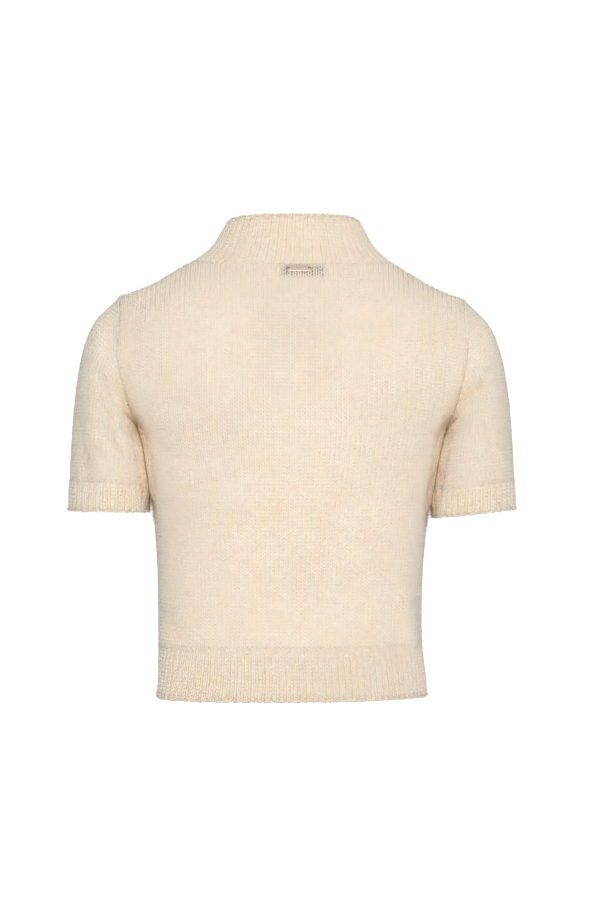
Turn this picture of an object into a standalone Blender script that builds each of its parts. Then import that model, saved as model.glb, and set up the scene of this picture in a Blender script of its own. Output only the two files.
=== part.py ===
"""Cropped sweater with short set-in sleeves and a mock neck, in thick brushed knit.

The cloth stands filled out and hollow, open at the neck, cuffs and hem, as it does when worn.
Sizes are in millimetres and turn to metres where a mesh is made.
+X is the wearer's right, +Y the front and +Z up. The origin is in the middle of the neck,
level with the bend where the neckband meets the shoulders.
"""

import math
from collections import namedtuple

import bmesh
import bpy
import numpy as np
from mathutils import Vector

MM = 0.001
BACK, FRONT = -1, 1
LEFT, RIGHT = -1, 1

# Cloth and seams
WALL = 3.0
SEAM_GAP = 0.3
RIB_RISE = 1.5
FOLDED_BACK = (0.45, 0.8)

# Body: heights of its seams, and the corner of its rounded sections above the armpit
HEM_EDGE = -492.8
HEM_SEAM = -438.0
ROUNDED = 2.3

# Armhole: where it starts, ends and how far it bulges
ARMPIT = (167.0, -205.0)
SHOULDER_POINT = (189.0, -56.0)
ARMHOLE_DEPTH = 56.0
ARMHOLE_BOW = {BACK: 10.0, FRONT: -2.0}

# Neck
NECK_HALF_WIDTH = 109.0
NECK_SIDE_HEIGHT = -16.0
NECK_DROP = {BACK: 6.0, FRONT: 50.0}
RIM_HALF_WIDTH = 72.0
RIM_SHIFT = 2.0
RIM_DEPTH = {BACK: 50.0, FRONT: 68.0}
RIM_BACK_HEIGHT, RIM_FRONT_HEIGHT = 32.5, -14.0
RIM_LEVEL_BACK = 2.7
NECKBAND_PINCH = 0.28

# The wearer's right shoulder sits lower than the left
SHOULDER_LEAN = 0.0095
LEAN_FROM, LEAN_FULL = 60.0, 130.0
LEAN_FOOT, LEAN_TOP = -290.0, -150.0

# Grids: columns and rows of each piece
SHOULDER_COLUMNS = 4
NECK_COLUMNS = 9
HALF_COLUMNS = SHOULDER_COLUMNS + NECK_COLUMNS
ROWS_BELOW_ARMPIT = 10
ARMHOLE_ROWS = 14
SLEEVE_ROWS = 11
HEM_RIB_SPLIT = 4
NECK_RIB_SPLIT = 4
CUFF_RIB_SPLIT = 3
HEM_ROWS = (0.0, 0.12, 0.55, 1.0)
NECKBAND_ROWS = (0.0, 0.1, 0.4, 0.72, 1.0)
CUFF_ROWS = (0.0, 0.2, 1.0)
ARC_STEPS = 65
TOP_ROWS_CLOSE = (1.2, 1.5)
BEND_FOOT, BEND_REACH = -112.0, 16.0

# Name plate and neck label
PLATE_WIDTH, PLATE_HEIGHT, PLATE_THICKNESS = 25.0, 7.0, 1.0
PLATE_CENTRE = (7.7, -27.9)
PLATE_HOLE_RADIUS, PLATE_HOLE_INSET = 0.8, 2.2
PLATE_SIDES = 12
LABEL_WIDTH, LABEL_HEIGHT, LABEL_THICKNESS = 49.0, 15.0, 0.6
LABEL_CENTRE = (12.0, -30.5)
LABEL_CLEARANCE = 0.8

# Body width below the armpit, with its middle and how square its two back and front corners are
Girth = namedtuple("Girth", "height half_width middle left_corner right_corner")
GIRTHS = (
    Girth(-492.8, 147.9, 0.4, 3.4, 2.05),
    Girth(-470.0, 146.4, 0.0, 3.1, 2.1),
    Girth(-443.0, 145.0, -1.6, 2.8, 2.15),
    Girth(-410.0, 144.8, -2.3, 2.5, 2.2),
    Girth(-366.0, 145.3, -2.2, 2.35, 2.3),
    Girth(-322.0, 148.0, -1.6, 2.3, 2.3),
    Girth(-289.0, 150.5, -1.5, 2.3, 2.3),
    Girth(-250.0, 157.0, -0.5, 2.3, 2.3),
    Girth(-221.0, 163.0, 0.0, 2.3, 2.3),
    Girth(-205.0, 167.0, 0.0, 2.3, 2.3),
)

# Distance of the back and of the front from the side seams' plane
Depth = namedtuple("Depth", "height back front")
DEPTHS = (
    Depth(-492.8, 84.0, 104.0),
    Depth(-460.0, 79.0, 101.0),
    Depth(-400.0, 76.0, 100.0),
    Depth(-340.0, 82.0, 108.0),
    Depth(-290.0, 89.0, 120.0),
    Depth(-240.0, 95.0, 125.0),
    Depth(-205.0, 97.5, 121.0),
    Depth(-160.0, 98.0, 110.0),
    Depth(-110.0, 93.0, 95.0),
    Depth(-72.0, 84.0, 84.0),
    Depth(-56.0, 80.0, 78.0),
    Depth(-22.0, 63.0, 64.0),
    Depth(-16.0, 60.0, 62.0),
)

# Shoulder seam, from the shoulder point up to the neck
Shoulder = namedtuple("Shoulder", "height half_width")
SHOULDERS = (
    Shoulder(-56.0, 189.0),
    Shoulder(-50.2, 172.0),
    Shoulder(-41.9, 152.8),
    Shoulder(-33.0, 137.0),
    Shoulder(-24.0, 122.0),
    Shoulder(-16.0, 109.0),
)

# Sleeve, from the armhole (0) to the cuff seam (1): its outer and inner edges and its half depth
Sleeve = namedtuple("Sleeve", "along outer_x outer_z inner_x inner_z half_depth")
SLEEVE = (
    Sleeve(0.00, 189.0, -56.0, 167.0, -205.0, 56.0),
    Sleeve(0.09, 203.0, -69.3, 168.0, -210.0, 57.5),
    Sleeve(0.16, 214.0, -80.3, 167.0, -214.0, 58.5),
    Sleeve(0.22, 220.6, -91.0, 165.9, -217.5, 59.5),
    Sleeve(0.33, 229.0, -113.0, 164.2, -223.5, 61.0),
    Sleeve(0.43, 234.0, -135.0, 162.8, -229.0, 62.0),
    Sleeve(0.64, 240.0, -179.0, 160.5, -241.0, 62.5),
    Sleeve(0.85, 243.0, -223.0, 158.2, -253.0, 60.0),
    Sleeve(1.00, 244.7, -257.0, 157.5, -262.0, 57.0),
)

# Cuff end: its outer and inner edges, and how much lower the sleeve's inner edge has come by its seam
Cuff = namedtuple("Cuff", "outer_x outer_z inner_x inner_z half_depth seam_drop")
CUFFS = {
    LEFT: Cuff(245.8, -289.0, 157.6, -290.5, 57.5, 0.0),
    RIGHT: Cuff(245.8, -287.5, 154.2, -297.0, 57.5, -5.0),
}

# Folds: a trough where rise is negative, a roll where it is positive, along points in X and Z
Fold = namedtuple("Fold", "face rise reach path")
FOLDS = (
    Fold(BACK, -2.4, 8.0, ((-191, -78), (-199, -102), (-206, -140), (-193, -196), (-184, -220))),
    Fold(BACK, -1.3, 8.0, ((-235, -168), (-229, -210), (-221, -262))),
    Fold(BACK, 1.5, 8.0, ((197, -163), (206, -159), (218, -161))),
    Fold(BACK, -1.5, 9.0, ((203, -180), (213, -205), (217, -246))),
    Fold(BACK, -2.2, 10.0, ((-143, -396), (-124, -420), (-103, -438))),
    Fold(BACK, 2.4, 9.0, ((121, -386), (130, -412), (131, -440))),
    Fold(BACK, -1.8, 8.0, ((141, -392), (143, -430))),
    Fold(BACK, -1.3, 7.0, ((-150, -442), (-60, -441), (60, -441), (150, -442))),
    Fold(BACK, -1.8, 9.0, ((-152, -212), (-128, -232), (-104, -243))),
    Fold(BACK, -1.5, 9.0, ((154, -214), (131, -240), (114, -262))),
    Fold(FRONT, -2.2, 9.0, ((-192, -80), (-204, -118), (-205, -158), (-191, -205))),
    Fold(FRONT, -2.0, 9.0, ((192, -84), (206, -124), (204, -170), (188, -212))),
    Fold(FRONT, -2.4, 10.0, ((-150, -205), (-126, -220), (-99, -228))),
    Fold(FRONT, -2.2, 10.0, ((151, -206), (122, -227), (101, -233))),
    Fold(FRONT, -2.0, 11.0, ((-138, -392), (-112, -423), (-92, -437))),
    Fold(FRONT, -2.0, 11.0, ((137, -380), (118, -416), (96, -436))),
    Fold(FRONT, -1.3, 7.0, ((-150, -442), (-60, -441), (60, -441), (150, -442))),
)
FOLD_SIDE_FADE = 18.0

Finish = namedtuple("Finish", "colour roughness metallic")
FINISHES = {
    "brushed_wool": Finish((0.84, 0.73, 0.59, 1.0), 0.95, 0.0),
    "brushed_steel": Finish((0.45, 0.42, 0.39, 1.0), 0.35, 1.0),
    "woven_label": Finish((0.03, 0.03, 0.035, 1.0), 0.8, 0.0),
}


def smooth(table, column, at, by=0):
    """Reads a column of a table by another one, along a curve that never swings past its rows."""
    ordered = sorted(table, key=lambda row: row[by])
    rows = np.array([row[by] for row in ordered], float)
    values = np.array([getattr(row, column) for row in ordered], float)
    steps = np.diff(rows)
    slopes = np.diff(values) / steps
    before, after = slopes[:-1], slopes[1:]
    same_way = before * after > 0
    leans = np.concatenate([slopes[:1], np.zeros(len(before)), slopes[-1:]])
    leans[1:-1][same_way] = (2 * before * after / np.where(same_way, before + after, 1))[same_way]
    at = np.clip(at, rows[0], rows[-1])
    i = np.clip(np.searchsorted(rows, at) - 1, 0, len(steps) - 1)
    t = (at - rows[i]) / steps[i]
    start, end = values[i], values[i + 1]
    rising = t * t * (3 - 2 * t)
    bend = t * (1 - t) * ((1 - t) * leans[i] - t * leans[i + 1]) * steps[i]
    return start + (end - start) * rising + bend


def eased(value, low, high):
    """0 below low, 1 above high, with a soft step between."""
    t = np.clip((value - low) / (high - low), 0, 1)
    return t * t * (3 - 2 * t)


def blend(first, second, share):
    return first + (second - first) * share


# Body sections


def depth(height, face):
    return smooth(DEPTHS, "back" if face == BACK else "front", height)


def armhole_edge(angle, face):
    """X, distance from the side plane and Z of the armhole edge, from the armpit (0) to the shoulder (pi)."""
    rise = (1 - np.cos(angle)) / 2
    out = blend(ARMPIT[0], SHOULDER_POINT[0], rise) + ARMHOLE_BOW[face] * np.sin(angle) ** 2
    return out, ARMHOLE_DEPTH * np.sin(angle), blend(ARMPIT[1], SHOULDER_POINT[1], rise)


def half_width(height, face):
    """Half the width of the level section that the cloth at this height follows."""
    below = smooth(GIRTHS, "half_width", height)
    rise = np.clip((height - ARMPIT[1]) / (SHOULDER_POINT[1] - ARMPIT[1]), 0, 1)
    out, side, _ = armhole_edge(np.arccos(1 - 2 * rise), face)
    beside = out / (1 - (side / depth(height, face)) ** ROUNDED) ** (1 / ROUNDED)
    above = smooth(SHOULDERS, "half_width", height)
    return np.where(height <= ARMPIT[1], below, np.where(height < SHOULDER_POINT[1], beside, above))


def middle(height):
    return smooth(GIRTHS, "middle", height)


def corner(height, side):
    return smooth(GIRTHS, "left_corner" if side == LEFT else "right_corner", height)


def section_y(x, height, face):
    """Y of the front or the back in the level section at a height above the armpit."""
    share = np.clip(np.abs(x) / half_width(height, face), 0, 1)
    return face * depth(height, face) * (1 - share**ROUNDED) ** (1 / ROUNDED)


def cloth_y(x, height, face):
    """Y of the cloth above the armpit, its bend at the height of the shoulder points rounded off."""
    x, height = np.asarray(x, float), np.asarray(height, float)
    below_edge = top_edge(np.abs(x), face) - height
    beside_edge = armhole_x(height, face) - np.abs(x)
    reach = np.clip(np.minimum(0.8 * below_edge, 0.4 * (height - BEND_FOOT)), 0, BEND_REACH)
    reach = reach * eased(beside_edge, 0, 25)
    return sum(section_y(x, height + step * reach, face) for step in (-1, -0.5, 0, 0.5, 1)) / 5


def top_edge(out, face):
    """Height of the neckline, or past it of the shoulder seam, at a distance from the middle."""
    turn = np.arcsin(np.clip(out / NECK_HALF_WIDTH, 0, 1))
    neckline = NECK_SIDE_HEIGHT - NECK_DROP[face] * np.cos(turn)
    return np.where(out < NECK_HALF_WIDTH, neckline, shoulder_height(out))


def shoulder_height(out):
    return smooth(SHOULDERS, "height", out, by=Shoulder._fields.index("half_width"))


def armhole_x(height, face):
    """How far out the armhole edge, or above it the shoulder seam, lies at a height."""
    rise = np.clip((height - ARMPIT[1]) / (SHOULDER_POINT[1] - ARMPIT[1]), 0, 1)
    out, _, _ = armhole_edge(np.arccos(1 - 2 * rise), face)
    return np.where(height < SHOULDER_POINT[1], out, smooth(SHOULDERS, "half_width", height))


def quarter_section(wide, deep, square):
    """A quarter of a rounded outline from its middle to its side: out, back and the share of its length."""
    rising = np.linspace(0, 0.5 ** (1 / square), ARC_STEPS)
    level = (1 - rising**square) ** (1 / square)
    out = wide * np.concatenate([rising, level[-2::-1]])
    back = deep * np.concatenate([level, rising[-2::-1]])
    return out, back, lengths_along(out, back)


def lengths_along(*coordinates):
    """The share of a line's length that lies before each of its points."""
    steps = np.sqrt(sum(np.diff(values) ** 2 for values in coordinates))
    run = np.concatenate([[0], np.cumsum(steps)])
    return run / run[-1]


def level_section(heights, shares, face):
    """Points round level sections: share is -1 at the left side seam, 0 in the middle and 1 at the right."""
    points = np.empty((len(heights), len(shares), 3))
    for row, height in zip(points, heights):
        for side, columns in ((LEFT, shares <= 0), (RIGHT, shares >= 0)):
            outline = quarter_section(half_width(height, face), depth(height, face), corner(height, side))
            out, back, run = outline
            row[columns, 0] = middle(height) + side * np.interp(np.abs(shares[columns]), run, out)
            row[columns, 1] = face * np.interp(np.abs(shares[columns]), run, back)
        row[:, 2] = height
    return points


def neck_edge(shares, face):
    """Points of the neckline: share is 0 in the middle and 1 where the shoulder seam meets it."""
    turn = (1 - np.linspace(1, 0, ARC_STEPS) ** 2) * math.pi / 2
    x = NECK_HALF_WIDTH * np.sin(turn)
    z = NECK_SIDE_HEIGHT - NECK_DROP[face] * np.cos(turn)
    y = cloth_y(x, z, face)
    y[-1] = 0
    run = lengths_along(x, y, z)
    return [np.interp(shares, run, values) for values in (x, y, z)]


# Grids of points on the cloth's outer face, row by row


def panel(face):
    shares = np.arange(-HALF_COLUMNS, HALF_COLUMNS + 1) / HALF_COLUMNS
    lower = level_section(np.linspace(HEM_SEAM, ARMPIT[1], ROWS_BELOW_ARMPIT + 1), shares, face)

    neck_share = NECK_COLUMNS / HALF_COLUMNS
    from_middle = np.abs(shares)
    past_neck = np.maximum(from_middle - neck_share, 0) / (1 - neck_share)
    neck_x, neck_y, neck_z = neck_edge(np.minimum(from_middle / neck_share, 1), face)
    top_x = neck_x + (SHOULDER_POINT[0] - NECK_HALF_WIDTH) * past_neck
    top_z = np.where(past_neck > 0, shoulder_height(top_x), neck_z)

    down = 1 - np.arange(1, ARMHOLE_ROWS + 1)[:, None] / ARMHOLE_ROWS
    edge_x, edge_y, edge_z = armhole_edge(math.pi * (1 - down), face)
    from_pit = np.abs(lower[-1, :, 0]) / ARMPIT[0]
    steepness = blend(*TOP_ROWS_CLOSE, eased(from_middle, 0, neck_share))
    fall = blend(down**steepness, (1 - np.cos(math.pi * down)) / 2, from_middle**4)
    x = np.sign(shares) * edge_x * blend(top_x / SHOULDER_POINT[0], from_pit, down)
    z = blend(top_z, ARMPIT[1], fall)
    y = cloth_y(x, z, face)
    y[-1] = np.where(past_neck > 0, 0, neck_y)
    upper = np.stack([x, y, z], axis=-1)
    for end, way in ((0, LEFT), (-1, RIGHT)):
        upper[:, end] = np.concatenate([way * edge_x, face * edge_y, edge_z], axis=1)
    return np.concatenate([lower, upper])


def hem_rib(face):
    columns = HALF_COLUMNS * HEM_RIB_SPLIT
    heights = blend(HEM_SEAM, HEM_EDGE, np.array(HEM_ROWS))
    return level_section(heights, np.arange(-columns, columns + 1) / columns, face)


def sleeve_ring(side, rows, columns):
    """Points of rings from the armhole (0) to the cuff seam (1), going round from the armpit by the back."""
    angle = np.arange(columns)[None, :] * 2 * math.pi / columns
    face = np.where(np.arange(columns) * 2 <= columns, BACK, FRONT)[None, :]
    bow = np.where(face == BACK, ARMHOLE_BOW[BACK], ARMHOLE_BOW[FRONT])
    edges = {name: smooth(SLEEVE, name, rows)[:, None] for name in Sleeve._fields[1:]}
    inner_z = edges["inner_z"] + CUFFS[side].seam_drop * rows[:, None] ** 2
    rise = (1 - np.cos(angle)) / 2
    x = blend(edges["inner_x"], edges["outer_x"], rise) + bow * np.sin(angle) ** 2 * (1 - rows[:, None]) ** 2
    y = -edges["half_depth"] * np.sin(angle)
    y[:, (0, columns // 2)] = 0
    return np.stack([side * x, y, blend(inner_z, edges["outer_z"], rise)], axis=-1)


def sleeve(side):
    rows = (np.arange(SLEEVE_ROWS + 1) / SLEEVE_ROWS) ** 1.2
    return sleeve_ring(side, rows, 2 * ARMHOLE_ROWS)


def cuff(side):
    columns = 2 * ARMHOLE_ROWS * CUFF_RIB_SPLIT
    seam = sleeve_ring(side, np.ones(1), columns)
    end, rise = CUFFS[side], (1 - np.cos(np.arange(columns) * 2 * math.pi / columns)) / 2
    x = side * blend(end.inner_x, end.outer_x, rise)
    y = seam[0, :, 1] * end.half_depth / SLEEVE[-1].half_depth
    edge = np.stack([x, y, blend(end.inner_z, end.outer_z, rise)], axis=-1)
    return blend(seam, edge[None], np.array(CUFF_ROWS)[:, None, None])


def neckband():
    quarter = NECK_COLUMNS * NECK_RIB_SPLIT
    outwards, inwards = np.arange(quarter) / quarter, np.arange(quarter, 0, -1) / quarter
    seam, rim = [], []
    for face, side, shares in (
        (BACK, RIGHT, outwards),
        (FRONT, RIGHT, inwards),
        (FRONT, LEFT, outwards),
        (BACK, LEFT, inwards),
    ):
        x, y, z = neck_edge(shares, face)
        seam.append(np.stack([side * x, y, z], axis=-1))
        turn = shares * math.pi / 2
        to_front = (1 + face * np.cos(turn)) / 2
        rim_x = RIM_SHIFT + side * RIM_HALF_WIDTH * np.sin(turn)
        rim_z = blend(RIM_BACK_HEIGHT, RIM_FRONT_HEIGHT, to_front**RIM_LEVEL_BACK)
        rim.append(np.stack([rim_x, face * RIM_DEPTH[face] * np.cos(turn), rim_z], axis=-1))
    seam, rim = np.concatenate(seam), np.concatenate(rim)

    up = np.array(NECKBAND_ROWS)[:, None, None]
    inward = up + NECKBAND_PINCH * np.sin(math.pi * up) * (1 - up)
    band = blend(seam, rim, inward)
    band[..., 2] = blend(seam, rim, up)[..., 2]
    return band


# Shape that all the pieces share


def lean(points):
    """Lowers the right shoulder and lifts the left one."""
    x, z = points[..., 0], points[..., 2]
    reach = eased(np.abs(x), LEAN_FROM, LEAN_FULL) * eased(z, LEAN_FOOT, LEAN_TOP)
    leaned = points.copy()
    leaned[..., 2] -= SHOULDER_LEAN * x * reach
    return leaned


def distance_to_path(x, z, path):
    nearest = np.full(x.shape, np.inf)
    for (x0, z0), (x1, z1) in zip(path, path[1:]):
        run_x, run_z = x1 - x0, z1 - z0
        t = np.clip(((x - x0) * run_x + (z - z0) * run_z) / (run_x**2 + run_z**2), 0, 1)
        nearest = np.minimum(nearest, np.hypot(x - x0 - t * run_x, z - z0 - t * run_z))
    return nearest


def fold_height(points):
    """How far the folds move each point out (or in, where negative)."""
    x, y, z = points[..., 0], points[..., 1], points[..., 2]
    total = np.zeros(x.shape)
    for fold in FOLDS:
        seen = eased(fold.face * y, 0, FOLD_SIDE_FADE)
        total += fold.rise * seen * np.exp(-((distance_to_path(x, z, fold.path) / fold.reach) ** 2))
    return total


def face_sums(points, is_round):
    """The outward normals of the faces that meet at each point, added up."""
    if is_round:
        points = np.concatenate([points, points[:, :1]], axis=1)
    a, b, c, d = points[:-1, :-1], points[:-1, 1:], points[1:, 1:], points[1:, :-1]
    face = np.cross(c - a, d - b)
    total = np.zeros(points.shape)
    for rows, columns in (
        (slice(None, -1), slice(None, -1)),
        (slice(None, -1), slice(1, None)),
        (slice(1, None), slice(1, None)),
        (slice(1, None), slice(None, -1)),
    ):
        total[rows, columns] += face
    if is_round:
        total[:, 0] += total[:, -1]
        total = total[:, :-1]
    return total


def unit(vectors):
    return vectors / np.linalg.norm(vectors, axis=-1, keepdims=True)


def outward_normals(grids):
    """Each point's outward direction, which the pieces that meet there share.

    Where they fold back on each other, as at the armpit, each piece keeps its own.
    """
    sums = {name: face_sums(grid.points, grid.is_round) * grid.outward for name, grid in grids.items()}
    meeting = {}
    for name, grid in grids.items():
        for place, key in keyed(grid.points):
            meeting[key] = meeting.get(key, 0) + sums[name][place]
    normals = {}
    for name, grid in grids.items():
        own, shared = unit(sums[name]), np.empty(grid.points.shape)
        for place, key in keyed(grid.points):
            shared[place] = unit(meeting[key])
        agreed = eased(np.sum(own * shared, axis=-1, keepdims=True), *FOLDED_BACK)
        normals[name] = unit(blend(own, shared, agreed))
    return normals


def keyed(points):
    for place in np.ndindex(points.shape[:2]):
        yield place, tuple(np.round(points[place], 2) + 0.0)


def along_seam(row, split, is_round):
    """Puts a row's in-between points on the straight lines between every split-th point."""
    ends = row[::split]
    after = np.roll(ends, -1, axis=0) if is_round else ends[1:]
    before = ends if is_round else ends[:-1]
    shares = np.arange(split)[None, :, None] / split
    filled = blend(before[:, None], after[:, None], shares).reshape(-1, 3)
    return filled if is_round else np.concatenate([filled, ends[-1:]])


class Grid:
    """A piece's outer points, row by row, with what its walls and seams need."""

    def __init__(self, points, outward, is_round=False, split=1, seams=("first_row",)):
        self.points = lean(points)
        self.outward = outward
        self.is_round = is_round
        self.split = split
        self.seams = seams
        self.straighten()

    def straighten(self):
        if self.split > 1:
            self.points[0] = along_seam(self.points[0], self.split, self.is_round)


def make_grids():
    all_round = ("first_row", "last_row", "first_column", "last_column")
    three_sides = ("first_row", "first_column", "last_column")
    grids = {}
    for name, face in (("back", BACK), ("front", FRONT)):
        grids[f"{name}_panel"] = Grid(panel(face), -face, seams=all_round)
        grids[f"hem_rib_{name}"] = Grid(hem_rib(face), face, split=HEM_RIB_SPLIT, seams=three_sides)
    for name, side in (("left", LEFT), ("right", RIGHT)):
        grids[f"sleeve_{name}"] = Grid(sleeve(side), -side, is_round=True, seams=("first_row", "last_row"))
        grids[f"cuff_{name}"] = Grid(cuff(side), -side, is_round=True, split=CUFF_RIB_SPLIT)
    grids["neckband"] = Grid(neckband(), 1, is_round=True, split=NECK_RIB_SPLIT)
    return grids


# Solids


def open_seams(walls, seams):
    """Draws each seam edge back by half the gap between two pieces."""
    edges = {
        "first_row": (np.s_[0], np.s_[1]),
        "last_row": (np.s_[-1], np.s_[-2]),
        "first_column": (np.s_[:, 0], np.s_[:, 1]),
        "last_column": (np.s_[:, -1], np.s_[:, -2]),
    }
    for wall in walls:
        for seam in seams:
            edge, beside = edges[seam]
            run = wall[beside] - wall[edge]
            wall[edge] += run / np.linalg.norm(run, axis=-1, keepdims=True) * SEAM_GAP / 2


def add_sheet(mesh, rows, is_round):
    """Adds the faces between rows of vertices."""
    for row, after in zip(rows, rows[1:]):
        for i in range(len(row) - (not is_round)):
            j = (i + 1) % len(row)
            mesh.faces.new((row[i], row[j], after[j], after[i]))


def add_rim(mesh, outer, inner, is_round):
    """Closes the wall's edge, whose inner row has as many vertices as the outer one, or one for every two."""
    ribbed = len(outer) > len(inner)
    for i in range(len(inner) - (not is_round)):
        j = (i + 1) % len(inner)
        if ribbed:
            start, top, end = outer[2 * i], outer[2 * i + 1], outer[2 * j]
            for corners in ((inner[i], start, top), (inner[i], top, inner[j]), (inner[j], top, end)):
                mesh.faces.new(corners)
        else:
            mesh.faces.new((outer[i], outer[j], inner[j], inner[i]))


def add_object(name, mesh, finish):
    """Makes a mesh in millimetres into an object in metres."""
    bmesh.ops.scale(mesh, vec=(MM, MM, MM), verts=mesh.verts)
    bmesh.ops.recalc_face_normals(mesh, faces=mesh.faces)
    data = bpy.data.meshes.new(name)
    mesh.to_mesh(data)
    mesh.free()
    data.materials.append(finish)
    data.shade_smooth()
    data.set_sharp_from_angle(angle=math.radians(40))
    piece = bpy.data.objects.new(name, data)
    bpy.context.scene.collection.objects.link(piece)
    return piece


def add_wall(name, outer, inner, is_round, finish):
    """One closed solid between the outer and the inner points of a piece of cloth."""
    mesh = bmesh.new()
    outside = [[mesh.verts.new(Vector(point)) for point in row] for row in outer]
    inside = [[mesh.verts.new(Vector(point)) for point in row] for row in inner]
    add_sheet(mesh, outside, is_round)
    add_sheet(mesh, inside, is_round)
    add_rim(mesh, outside[0], inside[0], is_round)
    add_rim(mesh, outside[-1], inside[-1], is_round)
    if not is_round:
        for column in (0, -1):
            add_rim(mesh, [row[column] for row in outside], [row[column] for row in inside], False)
    return add_object(name, mesh, finish)


def add_cloth(name, grid, normals, finish):
    outer = grid.points.copy()
    inner = grid.points - WALL * normals
    if grid.split > 1:
        inner[0] = along_seam(inner[0], grid.split, grid.is_round)
        outer[1:, 1::2] += RIB_RISE * normals[1:, 1::2]
        inner = inner[:, ::2]
    open_seams((outer, inner), grid.seams)
    add_wall(name, outer, inner, grid.is_round, finish)


def on_back(x, z, outward):
    """A point beside the back panel at the nape, moved out from the cloth's outer face."""
    step = 0.5
    here = np.array([x, float(cloth_y(x, z, BACK)), z])
    right = np.array([x + step, float(cloth_y(x + step, z, BACK)), z]) - here
    up = np.array([x, float(cloth_y(x, z + step, BACK)), z + step]) - here
    normal = np.cross(right, up)
    return here + outward * normal / np.linalg.norm(normal)


def add_patch(name, width, height, centre, near, thickness, columns, finish):
    """A thin piece that follows the back panel, from near to near + thickness out of its outer face."""
    xs = centre[0] + np.linspace(-width / 2, width / 2, columns + 1)
    zs = centre[1] + np.linspace(-height / 2, height / 2, 3)
    outer = [[on_back(x, z, near + thickness) for x in xs] for z in zs]
    inner = [[on_back(x, z, near) for x in xs] for z in zs]
    return add_wall(name, outer, inner, False, finish)


def pierce_plate(plate, finish):
    """Cuts the two sewing holes through the plate's ends."""
    for end in (-1, 1):
        x = PLATE_CENTRE[0] + end * (PLATE_WIDTH / 2 - PLATE_HOLE_INSET)
        start = Vector(on_back(x, PLATE_CENTRE[1], -PLATE_THICKNESS))
        stop = Vector(on_back(x, PLATE_CENTRE[1], 3 * PLATE_THICKNESS))
        drill = bmesh.new()
        bmesh.ops.create_cone(
            drill,
            cap_ends=True,
            segments=PLATE_SIDES,
            radius1=PLATE_HOLE_RADIUS,
            radius2=PLATE_HOLE_RADIUS,
            depth=(stop - start).length,
        )
        turn = Vector((0, 0, 1)).rotation_difference(stop - start).to_matrix()
        bmesh.ops.rotate(drill, matrix=turn, verts=drill.verts)
        bmesh.ops.translate(drill, vec=(start + stop) / 2, verts=drill.verts)
        cutter = add_object(f"plate_drill_{'left' if end < 0 else 'right'}", drill, finish)
        cutter.hide_render = True
        cutter.display_type = "WIRE"
        cut = plate.modifiers.new("sewing_hole", "BOOLEAN")
        cut.operation = "DIFFERENCE"
        cut.object = cutter


def make_finish(name):
    material = bpy.data.materials.new(name)
    material.use_nodes = True
    shader = material.node_tree.nodes["Principled BSDF"]
    shader.inputs["Base Color"].default_value = FINISHES[name].colour
    shader.inputs["Roughness"].default_value = FINISHES[name].roughness
    shader.inputs["Metallic"].default_value = FINISHES[name].metallic
    return material


def clear_scene():
    for obj in list(bpy.data.objects):
        bpy.data.objects.remove(obj, do_unlink=True)


def main():
    clear_scene()
    wool, steel, woven = (make_finish(name) for name in FINISHES)
    grids = make_grids()
    normals = outward_normals(grids)
    for name, grid in grids.items():
        grid.points += fold_height(grid.points)[..., None] * normals[name]
        grid.straighten()
    normals = outward_normals(grids)
    for name, grid in grids.items():
        add_cloth(name, grid, normals[name], wool)

    plate = add_patch(
        "name_plate", PLATE_WIDTH, PLATE_HEIGHT, PLATE_CENTRE, SEAM_GAP, PLATE_THICKNESS, 6, steel
    )
    pierce_plate(plate, steel)
    label_near = -(WALL + LABEL_CLEARANCE + LABEL_THICKNESS)
    add_patch("neck_label", LABEL_WIDTH, LABEL_HEIGHT, LABEL_CENTRE, label_near, LABEL_THICKNESS, 8, woven)


main()
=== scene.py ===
"""Looks of a cropped sweater: brushed wool yarn, ribs, linked seams, nap, name plate and label.

Sizes are in millimetres and turn to metres where a mesh is made. +X is the wearer's right,
+Y the front and +Z up, as in the frame.
"""

import math
from collections import namedtuple
from functools import partial

import bmesh
import bpy
import numpy as np
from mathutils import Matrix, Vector
from mathutils.bvhtree import BVHTree


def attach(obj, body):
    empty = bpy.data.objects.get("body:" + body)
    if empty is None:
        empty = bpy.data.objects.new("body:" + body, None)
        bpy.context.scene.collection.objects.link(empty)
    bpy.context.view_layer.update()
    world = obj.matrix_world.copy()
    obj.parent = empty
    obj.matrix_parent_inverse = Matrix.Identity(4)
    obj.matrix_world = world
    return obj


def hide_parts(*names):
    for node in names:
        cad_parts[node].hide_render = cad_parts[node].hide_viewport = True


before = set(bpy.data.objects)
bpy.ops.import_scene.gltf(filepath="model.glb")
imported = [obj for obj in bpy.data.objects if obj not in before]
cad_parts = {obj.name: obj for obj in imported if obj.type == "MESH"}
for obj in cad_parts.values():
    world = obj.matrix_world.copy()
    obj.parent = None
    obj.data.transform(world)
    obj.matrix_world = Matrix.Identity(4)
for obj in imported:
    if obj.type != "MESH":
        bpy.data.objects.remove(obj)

MM = 0.001
BACK, FRONT = -1, 1
LEFT, RIGHT = -1, 1
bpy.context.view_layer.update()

# Camera: a long lens square to the back of the garment
LENS, SENSOR = 100.0, 36.0
CAMERA_PLACE = (8.8, -2760.0, -224.4)

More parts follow.
